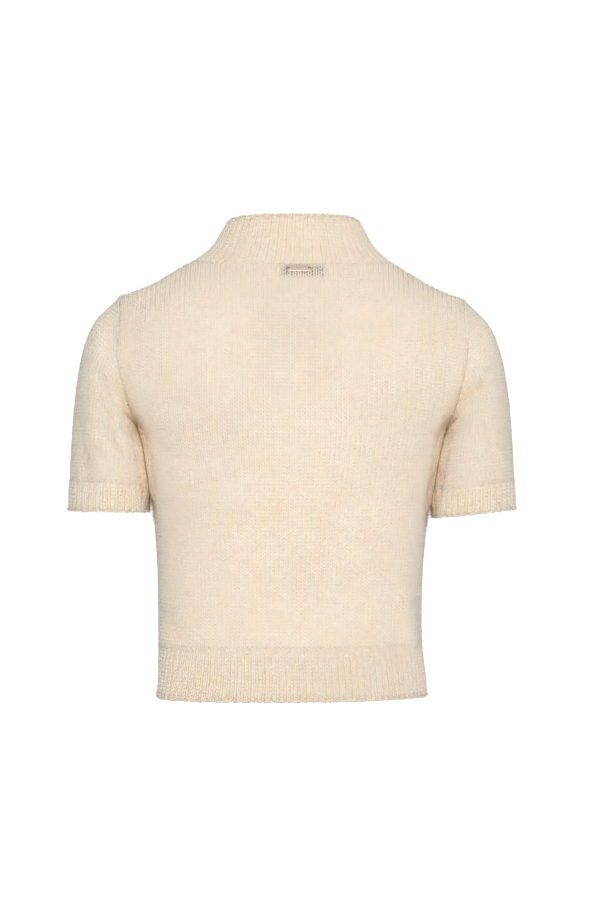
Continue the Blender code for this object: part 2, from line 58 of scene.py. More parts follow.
# Cloth and seams, as in the frame
WALL = 3.0
SEAM_GAP = 0.3
HEM_EDGE = -492.8
HEM_SEAM = -438.0
ROUNDED = 2.3
ARMPIT = (167.0, -205.0)
SHOULDER_POINT = (189.0, -56.0)
ARMHOLE_DEPTH = 56.0
ARMHOLE_BOW = {BACK: 10.0, FRONT: -2.0}
NECK_HALF_WIDTH = 109.0
NECK_SIDE_HEIGHT = -16.0
NECK_DROP = {BACK: 6.0, FRONT: 50.0}
RIM_HALF_WIDTH = 72.0
RIM_SHIFT = 2.0
RIM_DEPTH = {BACK: 50.0, FRONT: 68.0}
RIM_BACK_HEIGHT, RIM_FRONT_HEIGHT = 32.5, -14.0
RIM_LEVEL_BACK = 2.7
NECKBAND_PINCH = 0.28
SHOULDER_LEAN = 0.0095
LEAN_FROM, LEAN_FULL = 60.0, 130.0
LEAN_FOOT, LEAN_TOP = -290.0, -150.0
ARC_STEPS = 65
BEND_FOOT, BEND_REACH, BEND_FADE = -112.0, 16.0, 25
BEND_SHARES = (0.8, 0.4)

# How far two pieces' outward directions agree where the cloth folds back at their seam, and where not
FOLDED_BACK = (0.45, 0.8)

# Grids of the cloth: FINE times as many rows and columns as the frame's solids
FINE = 3
SHOULDER_COLUMNS = 4 * FINE
NECK_COLUMNS = 9 * FINE
HALF_COLUMNS = SHOULDER_COLUMNS + NECK_COLUMNS
ROWS_BELOW_ARMPIT = 10 * FINE
ARMHOLE_ROWS = 14 * FINE
SLEEVE_ROWS = 11 * FINE
TOP_ROWS_CLOSE, SLEEVE_ROWS_CLOSE = (1.2, 1.5), 1.2
TOP_ROWS_BEND = 4
HEM_RIBS, NECK_RIBS, CUFF_RIBS = 52, 54, 34
HEM_SPLIT, NECK_SPLIT, CUFF_SPLIT = 4, 4, 3
HEM_ROWS, NECKBAND_ROWS, CUFF_ROWS = 8, 10, 6

# Edges of a grid of cloth, each with its row or column and the next one inwards
FOOT, HEAD, SIDES = "first_row", "last_row", ("first_column", "last_column")
SEAM_PLACES = {
    FOOT: (0, 1),
    HEAD: (-1, -2),
    SIDES[0]: (np.s_[:, 0], np.s_[:, 1]),
    SIDES[1]: (np.s_[:, -1], np.s_[:, -2]),
}

# Yarn in the cloth: one stitch is two legs that meet at its foot
WALE, COURSE, RIB_WALE = 5.5, 3.9, 7.6
LEG_LENGTH, LEG_WIDTH, LEG_THICKNESS = 6.0, 3.1, 1.9
LEG_LEAN = math.radians(18)
LEG_SPREAD = 1.28
LEG_SIDES, LEG_RINGS = 3, 3
UNEVENNESS = 0.11
GROUND_INSET, FELTED_INSET, INNER_INSET = 0.75, 0.45, 2.9
STITCH_INSET = 0.7
STITCH_WIDTHS = (0.6, 1.5)

# Felting over the stitches: its least, how much more there is where it is thickest, and its patches
HAZE_LEAST, HAZE_MORE, HAZE_PATCHY = 0.35, 0.45, 0.18
HAZE_WAVES = ((31.0, 1.3), (43.0, 0.4))
HAZE_BELOW, HAZE_BESIDE = (150, 330), (160, 195)
HAZE_SINK = 0.16

# Lines that the stitches follow: above this height straight up, and how finely they are worked out
STRAIGHT_FROM = -100.0
LINE_STEPS, SLEEVE_RINGS, RING_POINTS = 60, 90, 240
SHORT_OF_ARMHOLE = 0.5

# Ribs: how high their crests stand over the frame's valleys
RIB_RISE = 0.7
NECK_RELIEF = 0.45
RIB_GROUND_RISE = 0.6
RIB_LEG_LEAN = math.radians(15)
RIB_FADE = 0.16
EDGE_ROOM = 1.6

# Links of the seams and cast-off edges: how deep each row lies and how large its links are
LINK_PITCH, LINK_LENGTH, LINK_WIDTH = 3.4, 4.8, 2.1
NECK_SEAM, HIDDEN_SEAM, CAST_OFF = (0.55, 0.9), (0.55, 1.3), (0.7, 1.4)
# How much painted warm shade the links get, and how uneven they are
LINK_WARM_SHADE, LINK_UNEVENNESS = 0.12, 0.3
OPEN_SEAMS = {
    "back_panel": (np.s_[-1, : SHOULDER_COLUMNS + 1], np.s_[-1, -SHOULDER_COLUMNS - 1 :]),
    "hem_rib_back": (np.s_[:, 0], np.s_[:, -1]),
}
EDGE_RAGGED, ARMHOLE_LIFT = 0.7, 0.5

# Nap: fibres a square metre, their length and thickness, and how steeply they may stand
NAP = {"Flat": (54000.0, 5.0, 0.3, 0.12), "Long": (9000.0, 4.8, 0.26, 1.3)}
NAP_SHARE = 0.45
COMBING = (1.0, 1.0, 0.45)
NAP_INSET = 0.1
FIBRE_BOW, FIBRE_SIZES = 0.4, (0.5, 1.3)

# How many times more long fibres grow at a free edge and in the crevice beside the arm
EDGE_FRINGE, CREVICE_FRINGE = 50.0, 75.0

# Wool colours, pale and deep, the painted warm shade of the yarn's grooves and of creases, and how much
# light passes through
YARN_COLOURS = ("#F2E7DC", "#EFE2D4")
GROOVE_SHADE_COLOUR = "#EEDFCA"
WARM_SHADE_COLOUR = "#E9C597"
GROUND_COLOURS = ("#F0E3D1", "#ECDBC5")
NAP_COLOURS = ("#F4EBE2", "#EFE2D4")
WOOL_GLOW = 0.5

# How much painted warm shade the wool gets where it swells, creases or faces other wool, and the swelling
# that brings it on
SWELL_WARM_SHADE, CREASE_WARM_SHADE, CREVICE_WARM_SHADE = 0.5, 0.45, 0.8
WARM_SHADE_SWELL = (1.0, 3.6)

# Length of one repeat of a wave texture at scale 1
WAVE_REPEAT = math.pi / 10

# Name plate and neck label
PLATE_WIDTH, PLATE_HEIGHT, PLATE_THICKNESS = 25.0, 7.0, 1.0
PLATE_CENTRE = (7.7, -27.9)
PLATE_CORNER, PLATE_BEVEL = 1.4, 0.7
PLATE_CORNER_STEPS, PLATE_BEVEL_STEPS, PLATE_SHARP = 5, 3, math.radians(40)
PLATE_HOLE_RADIUS, PLATE_HOLE_INSET, PLATE_HOLE_SIDES = 0.8, 2.2, 20
DRILL_LENGTH = 4.0
LABEL_WIDTH, LABEL_HEIGHT = 49.0, 15.0
LABEL_CENTRE = (12.0, -30.5)
LABEL_EDGE, LABEL_SHADOW = (-4.5, 1.5), "#A3978B"
THREAD_RADIUS, THREAD_SLIPS = 0.35, (-0.3, 0.35)
THREAD_TOP = PLATE_THICKNESS + SEAM_GAP + THREAD_RADIUS

# A thread's way out from its hole and how high over the cloth it lies
THREAD_PATH = ((-0.1, -0.9), (0.3, THREAD_TOP), (1.6, THREAD_TOP), (3.0, 0.1), (3.3, -1.0))

# Stage
GARMENT_MIDDLE = (0.0, 0.0, -230.0)
FLOOR_HEIGHT, FLOOR_REACH = -1500.0, 30000.0
ROOM_LIGHT, BACKDROP = 0.555, 1.2
SOFT_BOXES = {"key_soft_box": ((150, -2700, 260), 51.5), "far_soft_box": ((-150, 2700, 350), 38.0)}
SOFT_BOX_SIZE = 1500.0

SEED = 7

Girth = namedtuple("Girth", "height half_width middle left_corner right_corner")
GIRTHS = (
    Girth(-492.8, 147.9, 0.4, 3.4, 2.05),
    Girth(-470.0, 146.4, 0.0, 3.1, 2.1),
    Girth(-443.0, 145.0, -1.6, 2.8, 2.15),
    Girth(-410.0, 144.8, -2.3, 2.5, 2.2),
    Girth(-366.0, 145.3, -2.2, 2.35, 2.3),
    Girth(-322.0, 148.0, -1.6, 2.3, 2.3),
    Girth(-289.0, 150.5, -1.5, 2.3, 2.3),
    Girth(-250.0, 157.0, -0.5, 2.3, 2.3),
    Girth(-221.0, 163.0, 0.0, 2.3, 2.3),
    Girth(-205.0, 167.0, 0.0, 2.3, 2.3),
)

Depth = namedtuple("Depth", "height back front")
DEPTHS = (
    Depth(-492.8, 84.0, 104.0),
    Depth(-460.0, 79.0, 101.0),
    Depth(-400.0, 76.0, 100.0),
    Depth(-340.0, 82.0, 108.0),
    Depth(-290.0, 89.0, 120.0),
    Depth(-240.0, 95.0, 125.0),
    Depth(-205.0, 97.5, 121.0),
    Depth(-160.0, 98.0, 110.0),
    Depth(-110.0, 93.0, 95.0),
    Depth(-72.0, 84.0, 84.0),
    Depth(-56.0, 80.0, 78.0),
    Depth(-22.0, 63.0, 64.0),
    Depth(-16.0, 60.0, 62.0),
)

Shoulder = namedtuple("Shoulder", "height half_width")
SHOULDERS = (
    Shoulder(-56.0, 189.0),
    Shoulder(-50.2, 172.0),
    Shoulder(-41.9, 152.8),
    Shoulder(-33.0, 137.0),
    Shoulder(-24.0, 122.0),
    Shoulder(-16.0, 109.0),
)

Sleeve = namedtuple("Sleeve", "along outer_x outer_z inner_x inner_z half_depth")
SLEEVE = (
    Sleeve(0.00, 189.0, -56.0, 167.0, -205.0, 56.0),
    Sleeve(0.09, 203.0, -69.3, 168.0, -210.0, 57.5),
    Sleeve(0.16, 214.0, -80.3, 167.0, -214.0, 58.5),
    Sleeve(0.22, 220.6, -91.0, 165.9, -217.5, 59.5),
    Sleeve(0.33, 229.0, -113.0, 164.2, -223.5, 61.0),
    Sleeve(0.43, 234.0, -135.0, 162.8, -229.0, 62.0),
    Sleeve(0.64, 240.0, -179.0, 160.5, -241.0, 62.5),
    Sleeve(0.85, 243.0, -223.0, 158.2, -253.0, 60.0),
    Sleeve(1.00, 244.7, -257.0, 157.5, -262.0, 57.0),
)

Cuff = namedtuple("Cuff", "outer_x outer_z inner_x inner_z half_depth seam_drop")
CUFFS = {
    LEFT: Cuff(245.8, -289.0, 157.6, -290.5, 57.5, 0.0),
    RIGHT: Cuff(245.8, -287.5, 154.2, -297.0, 57.5, -5.0),
}

Fold = namedtuple("Fold", "face rise reach path")
FOLDS = (
    Fold(BACK, -2.4, 8.0, ((-191, -78), (-199, -102), (-206, -140), (-193, -196), (-184, -220))),
    Fold(BACK, -1.3, 8.0, ((-235, -168), (-229, -210), (-221, -262))),
    Fold(BACK, 1.5, 8.0, ((197, -163), (206, -159), (218, -161))),
    Fold(BACK, -1.5, 9.0, ((203, -180), (213, -205), (217, -246))),
    Fold(BACK, -2.2, 10.0, ((-143, -396), (-124, -420), (-103, -438))),
    Fold(BACK, 2.4, 9.0, ((121, -386), (130, -412), (131, -440))),
    Fold(BACK, -1.8, 8.0, ((141, -392), (143, -430))),
    Fold(BACK, -1.3, 7.0, ((-150, -442), (-60, -441), (60, -441), (150, -442))),
    Fold(BACK, -1.8, 9.0, ((-152, -212), (-128, -232), (-104, -243))),
    Fold(BACK, -1.5, 9.0, ((154, -214), (131, -240), (114, -262))),
    Fold(FRONT, -2.2, 9.0, ((-192, -80), (-204, -118), (-205, -158), (-191, -205))),
    Fold(FRONT, -2.0, 9.0, ((192, -84), (206, -124), (204, -170), (188, -212))),
    Fold(FRONT, -2.4, 10.0, ((-150, -205), (-126, -220), (-99, -228))),
    Fold(FRONT, -2.2, 10.0, ((151, -206), (122, -227), (101, -233))),
    Fold(FRONT, -2.0, 11.0, ((-138, -392), (-112, -423), (-92, -437))),
    Fold(FRONT, -2.0, 11.0, ((137, -380), (118, -416), (96, -436))),
    Fold(FRONT, -1.3, 7.0, ((-150, -442), (-60, -441), (60, -441), (150, -442))),
)
FOLD_SIDE_FADE = 18.0

# Folds too fine for the frame's solids: where the sleeves fold against the body, and elsewhere
# The creases also carry painted warm shade
CREASES = (
    Fold(BACK, -0.6, 6.0, ((-188, -152), (-182, -166), (-174, -184), (-168, -200))),
    Fold(BACK, -0.6, 6.0, ((205, -155), (193, -158), (183, -165), (175, -180), (168, -198))),
    Fold(FRONT, -0.6, 6.0, ((-187, -156), (-180, -172), (-170, -198))),
    Fold(FRONT, -0.6, 6.0, ((188, -158), (180, -174), (170, -199))),
)
FINE_FOLDS = (
    Fold(BACK, -1.6, 4.5, ((-207, -146), (-204, -168), (-194, -190), (-183, -222))),
    Fold(BACK, -0.9, 4.5, ((-233, -190), (-227, -218), (-221, -240))),
    Fold(BACK, -0.8, 5.0, ((206, -184), (212, -206), (215, -232))),
    Fold(FRONT, -1.3, 5.0, ((-205, -140), (-202, -172), (-190, -206))),
    Fold(FRONT, -1.3, 5.0, ((206, -142), (202, -178), (188, -212))),
    Fold(BACK, 1.2, 7.0, ((-90, -441), (90, -441))),
    Fold(FRONT, 1.2, 7.0, ((-90, -441), (90, -441))),
)

# Where the inside of each sleeve rests against the body, the wool swells until the two touch
TOUCH_REACH = (8.0, 14.0)
TOUCH_LIMIT = 4.2
TOUCH_FACING = (0.25, 0.7)
TOUCH_FOOT = {LEFT: (-283.0, -266.0), RIGHT: (-296.0, -279.0)}
TOUCH_TOP = -185.0
LEAST_GAP = 0.01

# Where fuzz fills the crevice between them: how wide it is there, and how high up it reaches
CREVICE_NARROW, CREVICE_WIDE = (0.6, 3.5), (8.0, 17.0)
CREVICE_FACING = (0.05, 0.4)
CREVICE_TOP = -140.0


# Curves and tables


def smooth(table, column, at, by=0):
    """Reads a column of a table by another one, along a curve that never swings past its rows."""
    ordered = sorted(table, key=lambda row: row[by])
    rows = np.array([row[by] for row in ordered], float)
    values = np.array([getattr(row, column) for row in ordered], float)
    steps = np.diff(rows)
    slopes = np.diff(values) / steps
    before, after = slopes[:-1], slopes[1:]
    same_way = before * after > 0
    leans = np.concatenate([slopes[:1], np.zeros(len(before)), slopes[-1:]])
    leans[1:-1][same_way] = (2 * before * after / np.where(same_way, before + after, 1))[same_way]
    at = np.clip(at, rows[0], rows[-1])
    i = np.clip(np.searchsorted(rows, at) - 1, 0, len(steps) - 1)
    t = (at - rows[i]) / steps[i]
    start, end = values[i], values[i + 1]
    rising = t * t * (3 - 2 * t)
    bend = t * (1 - t) * ((1 - t) * leans[i] - t * leans[i + 1]) * steps[i]
    return start + (end - start) * rising + bend


def eased(value, low, high):
    """0 below low, 1 above high, with a soft step between."""
    t = np.clip((value - low) / (high - low), 0, 1)
    return t * t * (3 - 2 * t)


def blend(first, second, share):
    return first + (second - first) * share


def unit(vectors):
    return vectors / np.maximum(np.linalg.norm(vectors, axis=-1, keepdims=True), 1e-9)


def run_along(*coordinates):
    """How much of a line's length lies before each of its points."""
    steps = np.sqrt(sum(np.diff(values) ** 2 for values in coordinates))
    return np.concatenate([[0], np.cumsum(steps)])


# The garment's form, as in the frame's source


def depth(height, face):
    return smooth(DEPTHS, "back" if face == BACK else "front", height)


def armhole_edge(angle, face):
    """X, distance from the side plane and Z of the armhole edge, from armpit (0) to shoulder (pi)."""
    rise = (1 - np.cos(angle)) / 2
    out = blend(ARMPIT[0], SHOULDER_POINT[0], rise) + ARMHOLE_BOW[face] * np.sin(angle) ** 2
    return out, ARMHOLE_DEPTH * np.sin(angle), blend(ARMPIT[1], SHOULDER_POINT[1], rise)


def half_width(height, face):
    """Half the width of the level section that the cloth at this height follows."""
    below = smooth(GIRTHS, "half_width", height)
    rise = np.clip((height - ARMPIT[1]) / (SHOULDER_POINT[1] - ARMPIT[1]), 0, 1)
    out, side, _ = armhole_edge(np.arccos(1 - 2 * rise), face)
    beside = out / (1 - (side / depth(height, face)) ** ROUNDED) ** (1 / ROUNDED)
    above = smooth(SHOULDERS, "half_width", height)
    return np.where(height <= ARMPIT[1], below, np.where(height < SHOULDER_POINT[1], beside, above))


def middle(height):
    return smooth(GIRTHS, "middle", height)


def corner(height, side):
    return smooth(GIRTHS, "left_corner" if side == LEFT else "right_corner", height)


def section_y(x, height, face):
    """Y of the front or the back in the level section at a height above the armpit."""
    share = np.clip(np.abs(x) / half_width(height, face), 0, 1)
    return face * depth(height, face) * (1 - share**ROUNDED) ** (1 / ROUNDED)


def cloth_y(x, height, face):
    """Y of the cloth above the armpit, its bend at the height of the shoulder points rounded off."""
    x, height = np.asarray(x, float), np.asarray(height, float)
    below_edge = top_edge(np.abs(x), face) - height
    beside_edge = armhole_x(height, face) - np.abs(x)
    from_edge, from_foot = BEND_SHARES
    reach = np.minimum(from_edge * below_edge, from_foot * (height - BEND_FOOT))
    reach = np.clip(reach, 0, BEND_REACH) * eased(beside_edge, 0, BEND_FADE)
    return sum(section_y(x, height + step * reach, face) for step in (-1, -0.5, 0, 0.5, 1)) / 5


def top_edge(out, face):
    """Height of the neckline, or past it of the shoulder seam, at a distance from the middle."""
    turn = np.arcsin(np.clip(out / NECK_HALF_WIDTH, 0, 1))
    neckline = NECK_SIDE_HEIGHT - NECK_DROP[face] * np.cos(turn)
    return np.where(out < NECK_HALF_WIDTH, neckline, shoulder_height(out))


def shoulder_height(out):
    return smooth(SHOULDERS, "height", out, by=Shoulder._fields.index("half_width"))


def armhole_x(height, face):
    """How far out the armhole edge, or above it the shoulder seam, lies at a height."""
    rise = np.clip((height - ARMPIT[1]) / (SHOULDER_POINT[1] - ARMPIT[1]), 0, 1)
    out, _, _ = armhole_edge(np.arccos(1 - 2 * rise), face)
    return np.where(height < SHOULDER_POINT[1], out, smooth(SHOULDERS, "half_width", height))


def quarter_section(wide, deep, square):
    """A quarter of a rounded outline from its middle to its side: out, back and the length so far."""
    rising = np.linspace(0, 0.5 ** (1 / square), ARC_STEPS)
    level = (1 - rising**square) ** (1 / square)
    out = wide * np.concatenate([rising, level[-2::-1]])
    back = deep * np.concatenate([level, rising[-2::-1]])
    return out, back, run_along(out, back)


def level_section(heights, shares, face):
    """Points round level sections: share is -1 at the left seam, 0 in the middle and 1 at the right."""
    points = np.empty((len(heights), len(shares), 3))
    for row, height in zip(points, heights):
        for side, columns in ((LEFT, shares <= 0), (RIGHT, shares >= 0)):
            outline = quarter_section(half_width(height, face), depth(height, face), corner(height, side))
            out, back, run = outline
            at = np.abs(shares[columns]) * run[-1]
            row[columns, 0] = middle(height) + side * np.interp(at, run, out)
            row[columns, 1] = face * np.interp(at, run, back)
        row[:, 2] = height
    return points


def neck_edge(shares, face):
    """Points of the neckline: share is 0 in the middle and 1 where the shoulder seam meets it."""
    turn = (1 - np.linspace(1, 0, ARC_STEPS) ** 2) * math.pi / 2
    x = NECK_HALF_WIDTH * np.sin(turn)
    z = NECK_SIDE_HEIGHT - NECK_DROP[face] * np.cos(turn)
    y = cloth_y(x, z, face)
    y[-1] = 0
    run = run_along(x, y, z)
    return [np.interp(shares * run[-1], run, values) for values in (x, y, z)]


def panel(face):
    shares = np.arange(-HALF_COLUMNS, HALF_COLUMNS + 1) / HALF_COLUMNS
    lower = level_section(np.linspace(HEM_SEAM, ARMPIT[1], ROWS_BELOW_ARMPIT + 1), shares, face)

    neck_share = NECK_COLUMNS / HALF_COLUMNS
    from_middle = np.abs(shares)
    past_neck = np.maximum(from_middle - neck_share, 0) / (1 - neck_share)
    neck_x, neck_y, neck_z = neck_edge(np.minimum(from_middle / neck_share, 1), face)
    top_x = neck_x + (SHOULDER_POINT[0] - NECK_HALF_WIDTH) * past_neck
    top_z = np.where(past_neck > 0, shoulder_height(top_x), neck_z)

    down = 1 - np.arange(1, ARMHOLE_ROWS + 1)[:, None] / ARMHOLE_ROWS
    edge_x, edge_y, edge_z = armhole_edge(math.pi * (1 - down), face)
    from_pit = np.abs(lower[-1, :, 0]) / ARMPIT[0]
    steepness = blend(*TOP_ROWS_CLOSE, eased(from_middle, 0, neck_share))
    fall = blend(down**steepness, (1 - np.cos(math.pi * down)) / 2, from_middle**TOP_ROWS_BEND)
    x = np.sign(shares) * edge_x * blend(top_x / SHOULDER_POINT[0], from_pit, down)
    z = blend(top_z, ARMPIT[1], fall)
    y = cloth_y(x, z, face)
    y[-1] = np.where(past_neck > 0, 0, neck_y)
    upper = np.stack([x, y, z], axis=-1)
    for end, way in ((0, LEFT), (-1, RIGHT)):
        upper[:, end] = np.concatenate([way * edge_x, face * edge_y, edge_z], axis=1)
    return np.concatenate([lower, upper])


def hem_rib(face):
    columns = HALF_COLUMNS * HEM_SPLIT
    heights = np.linspace(HEM_SEAM, HEM_EDGE, HEM_ROWS + 1)
    return level_section(heights, np.arange(-columns, columns + 1) / columns, face)


def sleeve_ring(side, rows, columns):
    """Points of rings from the armhole (0) to the cuff seam (1), from the armpit round by the back."""
    angle = np.arange(columns)[None, :] * 2 * math.pi / columns
    face = np.where(np.arange(columns) * 2 <= columns, BACK, FRONT)[None, :]
    bow = np.where(face == BACK, ARMHOLE_BOW[BACK], ARMHOLE_BOW[FRONT])
    edges = {name: smooth(SLEEVE, name, rows)[:, None] for name in Sleeve._fields[1:]}
    inner_z = edges["inner_z"] + CUFFS[side].seam_drop * rows[:, None] ** 2
    rise = (1 - np.cos(angle)) / 2
    x = blend(edges["inner_x"], edges["outer_x"], rise)
    x += bow * np.sin(angle) ** 2 * (1 - rows[:, None]) ** 2
    y = -edges["half_depth"] * np.sin(angle)
    y[:, (0, columns // 2)] = 0
    return np.stack([side * x, y, blend(inner_z, edges["outer_z"], rise)], axis=-1)


def sleeve(side):
    rows = (np.arange(SLEEVE_ROWS + 1) / SLEEVE_ROWS) ** SLEEVE_ROWS_CLOSE
    return sleeve_ring(side, rows, 2 * ARMHOLE_ROWS)


def cuff(side):
    columns = 2 * ARMHOLE_ROWS * CUFF_SPLIT
    seam = sleeve_ring(side, np.ones(1), columns)
    end, rise = CUFFS[side], (1 - np.cos(np.arange(columns) * 2 * math.pi / columns)) / 2
    x = side * blend(end.inner_x, end.outer_x, rise)
    y = seam[0, :, 1] * end.half_depth / SLEEVE[-1].half_depth
    edge = np.stack([x, y, blend(end.inner_z, end.outer_z, rise)], axis=-1)
    return blend(seam, edge[None], np.linspace(0, 1, CUFF_ROWS + 1)[:, None, None])


def neckband():
    quarter = NECK_COLUMNS * NECK_SPLIT
    outwards, inwards = np.arange(quarter) / quarter, np.arange(quarter, 0, -1) / quarter
    seam, rim = [], []
    for face, side, shares in (
        (BACK, RIGHT, outwards),
        (FRONT, RIGHT, inwards),
        (FRONT, LEFT, outwards),
        (BACK, LEFT, inwards),
    ):
        x, y, z = neck_edge(shares, face)
        seam.append(np.stack([side * x, y, z], axis=-1))
        turn = shares * math.pi / 2
        to_front = (1 + face * np.cos(turn)) / 2
        rim_x = RIM_SHIFT + side * RIM_HALF_WIDTH * np.sin(turn)
        rim_z = blend(RIM_BACK_HEIGHT, RIM_FRONT_HEIGHT, to_front**RIM_LEVEL_BACK)
        rim.append(np.stack([rim_x, face * RIM_DEPTH[face] * np.cos(turn), rim_z], axis=-1))
    seam, rim = np.concatenate(seam), np.concatenate(rim)

    up = np.linspace(0, 1, NECKBAND_ROWS + 1)[:, None, None]
    inward = up + NECKBAND_PINCH * np.sin(math.pi * up) * (1 - up)
    band = blend(seam, rim, inward)
    band[..., 2] = blend(seam, rim, up)[..., 2]
    return band


def lean(points):
    """Lowers the right shoulder and lifts the left one."""
    x, z = points[..., 0], points[..., 2]
    reach = eased(np.abs(x), LEAN_FROM, LEAN_FULL) * eased(z, LEAN_FOOT, LEAN_TOP)
    leaned = points.copy()
    leaned[..., 2] -= SHOULDER_LEAN * x * reach
    return leaned


def distance_to_path(x, z, path):
    nearest = np.full(x.shape, np.inf)
    for (x0, z0), (x1, z1) in zip(path, path[1:]):
        run_x, run_z = x1 - x0, z1 - z0
        t = np.clip(((x - x0) * run_x + (z - z0) * run_z) / (run_x**2 + run_z**2), 0, 1)
        nearest = np.minimum(nearest, np.hypot(x - x0 - t * run_x, z - z0 - t * run_z))
    return nearest


def fold_height(points):
    """How far the folds move each point out (or in, where negative)."""
    return sum(fold.rise * nearness(fold, points) for fold in FOLDS + CREASES + FINE_FOLDS)


def nearness(fold, points):
    """1 on the line of a fold, fading away from it and towards the sides of the body."""
    x, y, z = points[..., 0], points[..., 1], points[..., 2]
    seen = eased(fold.face * y, 0, FOLD_SIDE_FADE)
    return seen * np.exp(-((distance_to_path(x, z, fold.path) / fold.reach) ** 2))


def points_near(other, points, normals, top, reach):
    """Each point below a height with other cloth in reach: its place, itself, the gap and its facing."""
    for place in zip(*np.nonzero(points[..., 2] < top)):
        point = Vector(points[place])
        nearest, _, _, gap = other.find_nearest(point, reach)
        if nearest is not None and gap > LEAST_GAP:
            yield place, point, gap, Vector(normals[place]).dot(nearest - point) / gap


def touch_swell(points, normals, other):
    """How far the wool swells towards the cloth that it rests against under the arms."""
    swell = np.zeros((*points.shape[:-1], 1))
    for place, point, gap, facing in points_near(other, points, normals, TOUCH_TOP, TOUCH_REACH[1]):
        foot = eased(point.z, *TOUCH_FOOT[LEFT if point.x < 0 else RIGHT])
        near = 1 - eased(gap, *TOUCH_REACH)
        swell[place] = min(gap / 2, TOUCH_LIMIT) * eased(facing, *TOUCH_FACING) * foot * near
    return swell


def crevice_share(points, normals, other):
    """1 where the cloth stands a little off the one beside it and 0 where they touch or are far apart."""
    shares = np.zeros(points.shape[:-1])
    for place, _, gap, facing in points_near(other, points, normals, CREVICE_TOP, CREVICE_WIDE[1]):
        apart = eased(gap, *CREVICE_NARROW) * (1 - eased(gap, *CREVICE_WIDE))
        shares[place] = eased(facing, *CREVICE_FACING) * apart
    return shares


def cloth_tree(cloths):
    """The surfaces of several pieces, ready to find the nearest point on them."""
    points, faces = [], []
    for cloth in cloths:
        numbers = np.arange(cloth.points[..., 0].size).reshape(cloth.points.shape[:2]) + len(points)
        faces.extend(cells(closed(numbers, cloth.is_round)).tolist())
        points.extend(cloth.points.reshape(-1, 3).tolist())
    return BVHTree.FromPolygons(points, faces)


def face_normals(points):
    """A vector out of each face of a grid, twice as long as its area."""
    a, b, c, d = points[:-1, :-1], points[:-1, 1:], points[1:, 1:], points[1:, :-1]
    return np.cross(c - a, d - b)


def face_sums(points, is_round):
    """The outward normals of the faces that meet at each point, added up."""
    points = closed(points, is_round)
    total = np.zeros(points.shape)
    near, far = slice(None, -1), slice(1, None)
    for corner_of_face in ((near, near), (near, far), (far, far), (far, near)):
        total[corner_of_face] += face_normals(points)
    if is_round:
        total[:, 0] += total[:, -1]
        total = total[:, :-1]
    return total


class Cloth:
    """One knitted piece: its outer points row by row, as in the frame, and what it needs to be made."""

    def __init__(self, points, outward, is_round=False, ribs=0, relief=1.0, seams=(FOOT,)):
        self.points = lean(points)
        self.outward = outward
        self.slot = "rib_knit" if ribs else "knit"
        self.is_round = is_round
        self.ribs = ribs
        self.relief = relief
        self.seams = seams

    def rib_rise(self, height):
        """How ribs of this height move each point outwards, fading at the seam that they grow from."""
        rows, columns = self.points.shape[:2]
        turns = np.arange(columns) / (columns - (0 if self.is_round else 1))
        wave = self.relief * (1 - np.cos(2 * math.pi * self.ribs * turns)) / 2
        wave = wave * eased((np.arange(rows) / (rows - 1))[:, None], 0, RIB_FADE)
        return height * wave[..., None] * self.normals


def make_cloths():
    cloths = {}
    for name, face in (("back", BACK), ("front", FRONT)):
        cloths[f"{name}_panel"] = Cloth(panel(face), -face, seams=(FOOT, HEAD, *SIDES))
        cloths[f"hem_rib_{name}"] = Cloth(hem_rib(face), face, ribs=HEM_RIBS, seams=(FOOT, *SIDES))
    for name, side in (("left", LEFT), ("right", RIGHT)):
        cloths[f"sleeve_{name}"] = Cloth(sleeve(side), -side, is_round=True, seams=(FOOT, HEAD))
        cloths[f"cuff_{name}"] = Cloth(cuff(side), -side, is_round=True, ribs=CUFF_RIBS)
    cloths["neckband"] = Cloth(neckband(), 1, is_round=True, ribs=NECK_RIBS, relief=NECK_RELIEF)

    normals = outward_normals(cloths)
    for name, cloth in cloths.items():
        cloth.points += fold_height(cloth.points)[..., None] * normals[name]
    normals = outward_normals(cloths)
    trees = beside_trees(cloths)
    for name, cloth in cloths.items():
        cloth.beside = trees[name]
        cloth.swell = touch_swell(cloth.points, normals[name], cloth.beside)
    for name, cloth in cloths.items():
        cloth.points += cloth.swell * normals[name]
    normals = outward_normals(cloths)
    trees = beside_trees(cloths)
    for name, cloth in cloths.items():
        cloth.normals = normals[name]
        cloth.crevice = crevice_share(cloth.points, cloth.normals, trees[name])
    return cloths


def beside_trees(cloths):
    """For each piece what it may rest against: the body for the sleeves, the sleeves for the rest."""
    on_arm = {name: name.startswith(("sleeve", "cuff")) for name in cloths}
    arms = cloth_tree([cloth for name, cloth in cloths.items() if on_arm[name]])
    body = cloth_tree([cloth for name, cloth in cloths.items() if name.endswith("panel")])
    return {name: body if on_arm[name] else arms for name in cloths}


def outward_normals(cloths):
    """Each point's outward direction, shared by the pieces that meet there unless they fold back."""
    sums = {name: face_sums(cloth.points, cloth.is_round) * cloth.outward for name, cloth in cloths.items()}
    meeting = {}
    for name, cloth in cloths.items():
        for place, key in edge_keys(cloth.points):
            meeting[key] = meeting.get(key, 0) + sums[name][place]
    normals = {}
    for name, cloth in cloths.items():
        own = unit(sums[name])
        shared = own.copy()
        for place, key in edge_keys(cloth.points):
            shared[place] = unit(meeting[key])
        agreed = eased(np.sum(own * shared, axis=-1, keepdims=True), *FOLDED_BACK)
        normals[name] = unit(blend(own, shared, agreed))
    return normals


def edge_keys(points):
    """The places on the edges of a piece, each with its rounded point, which a neighbour shares."""
    rows, columns = points.shape[:2]
    for place in np.ndindex(rows, columns):
        if place[0] in (0, rows - 1) or place[1] in (0, columns - 1):
            yield place, tuple(np.round(points[place], 2) + 0.0)


# Meshes


def open_seams(walls, seams):
    """Draws each seam edge back by half the gap between two pieces."""
    for wall in walls:
        for seam in seams:
            edge, inwards = SEAM_PLACES[seam]
            wall[edge] += unit(wall[inwards] - wall[edge]) * SEAM_GAP / 2


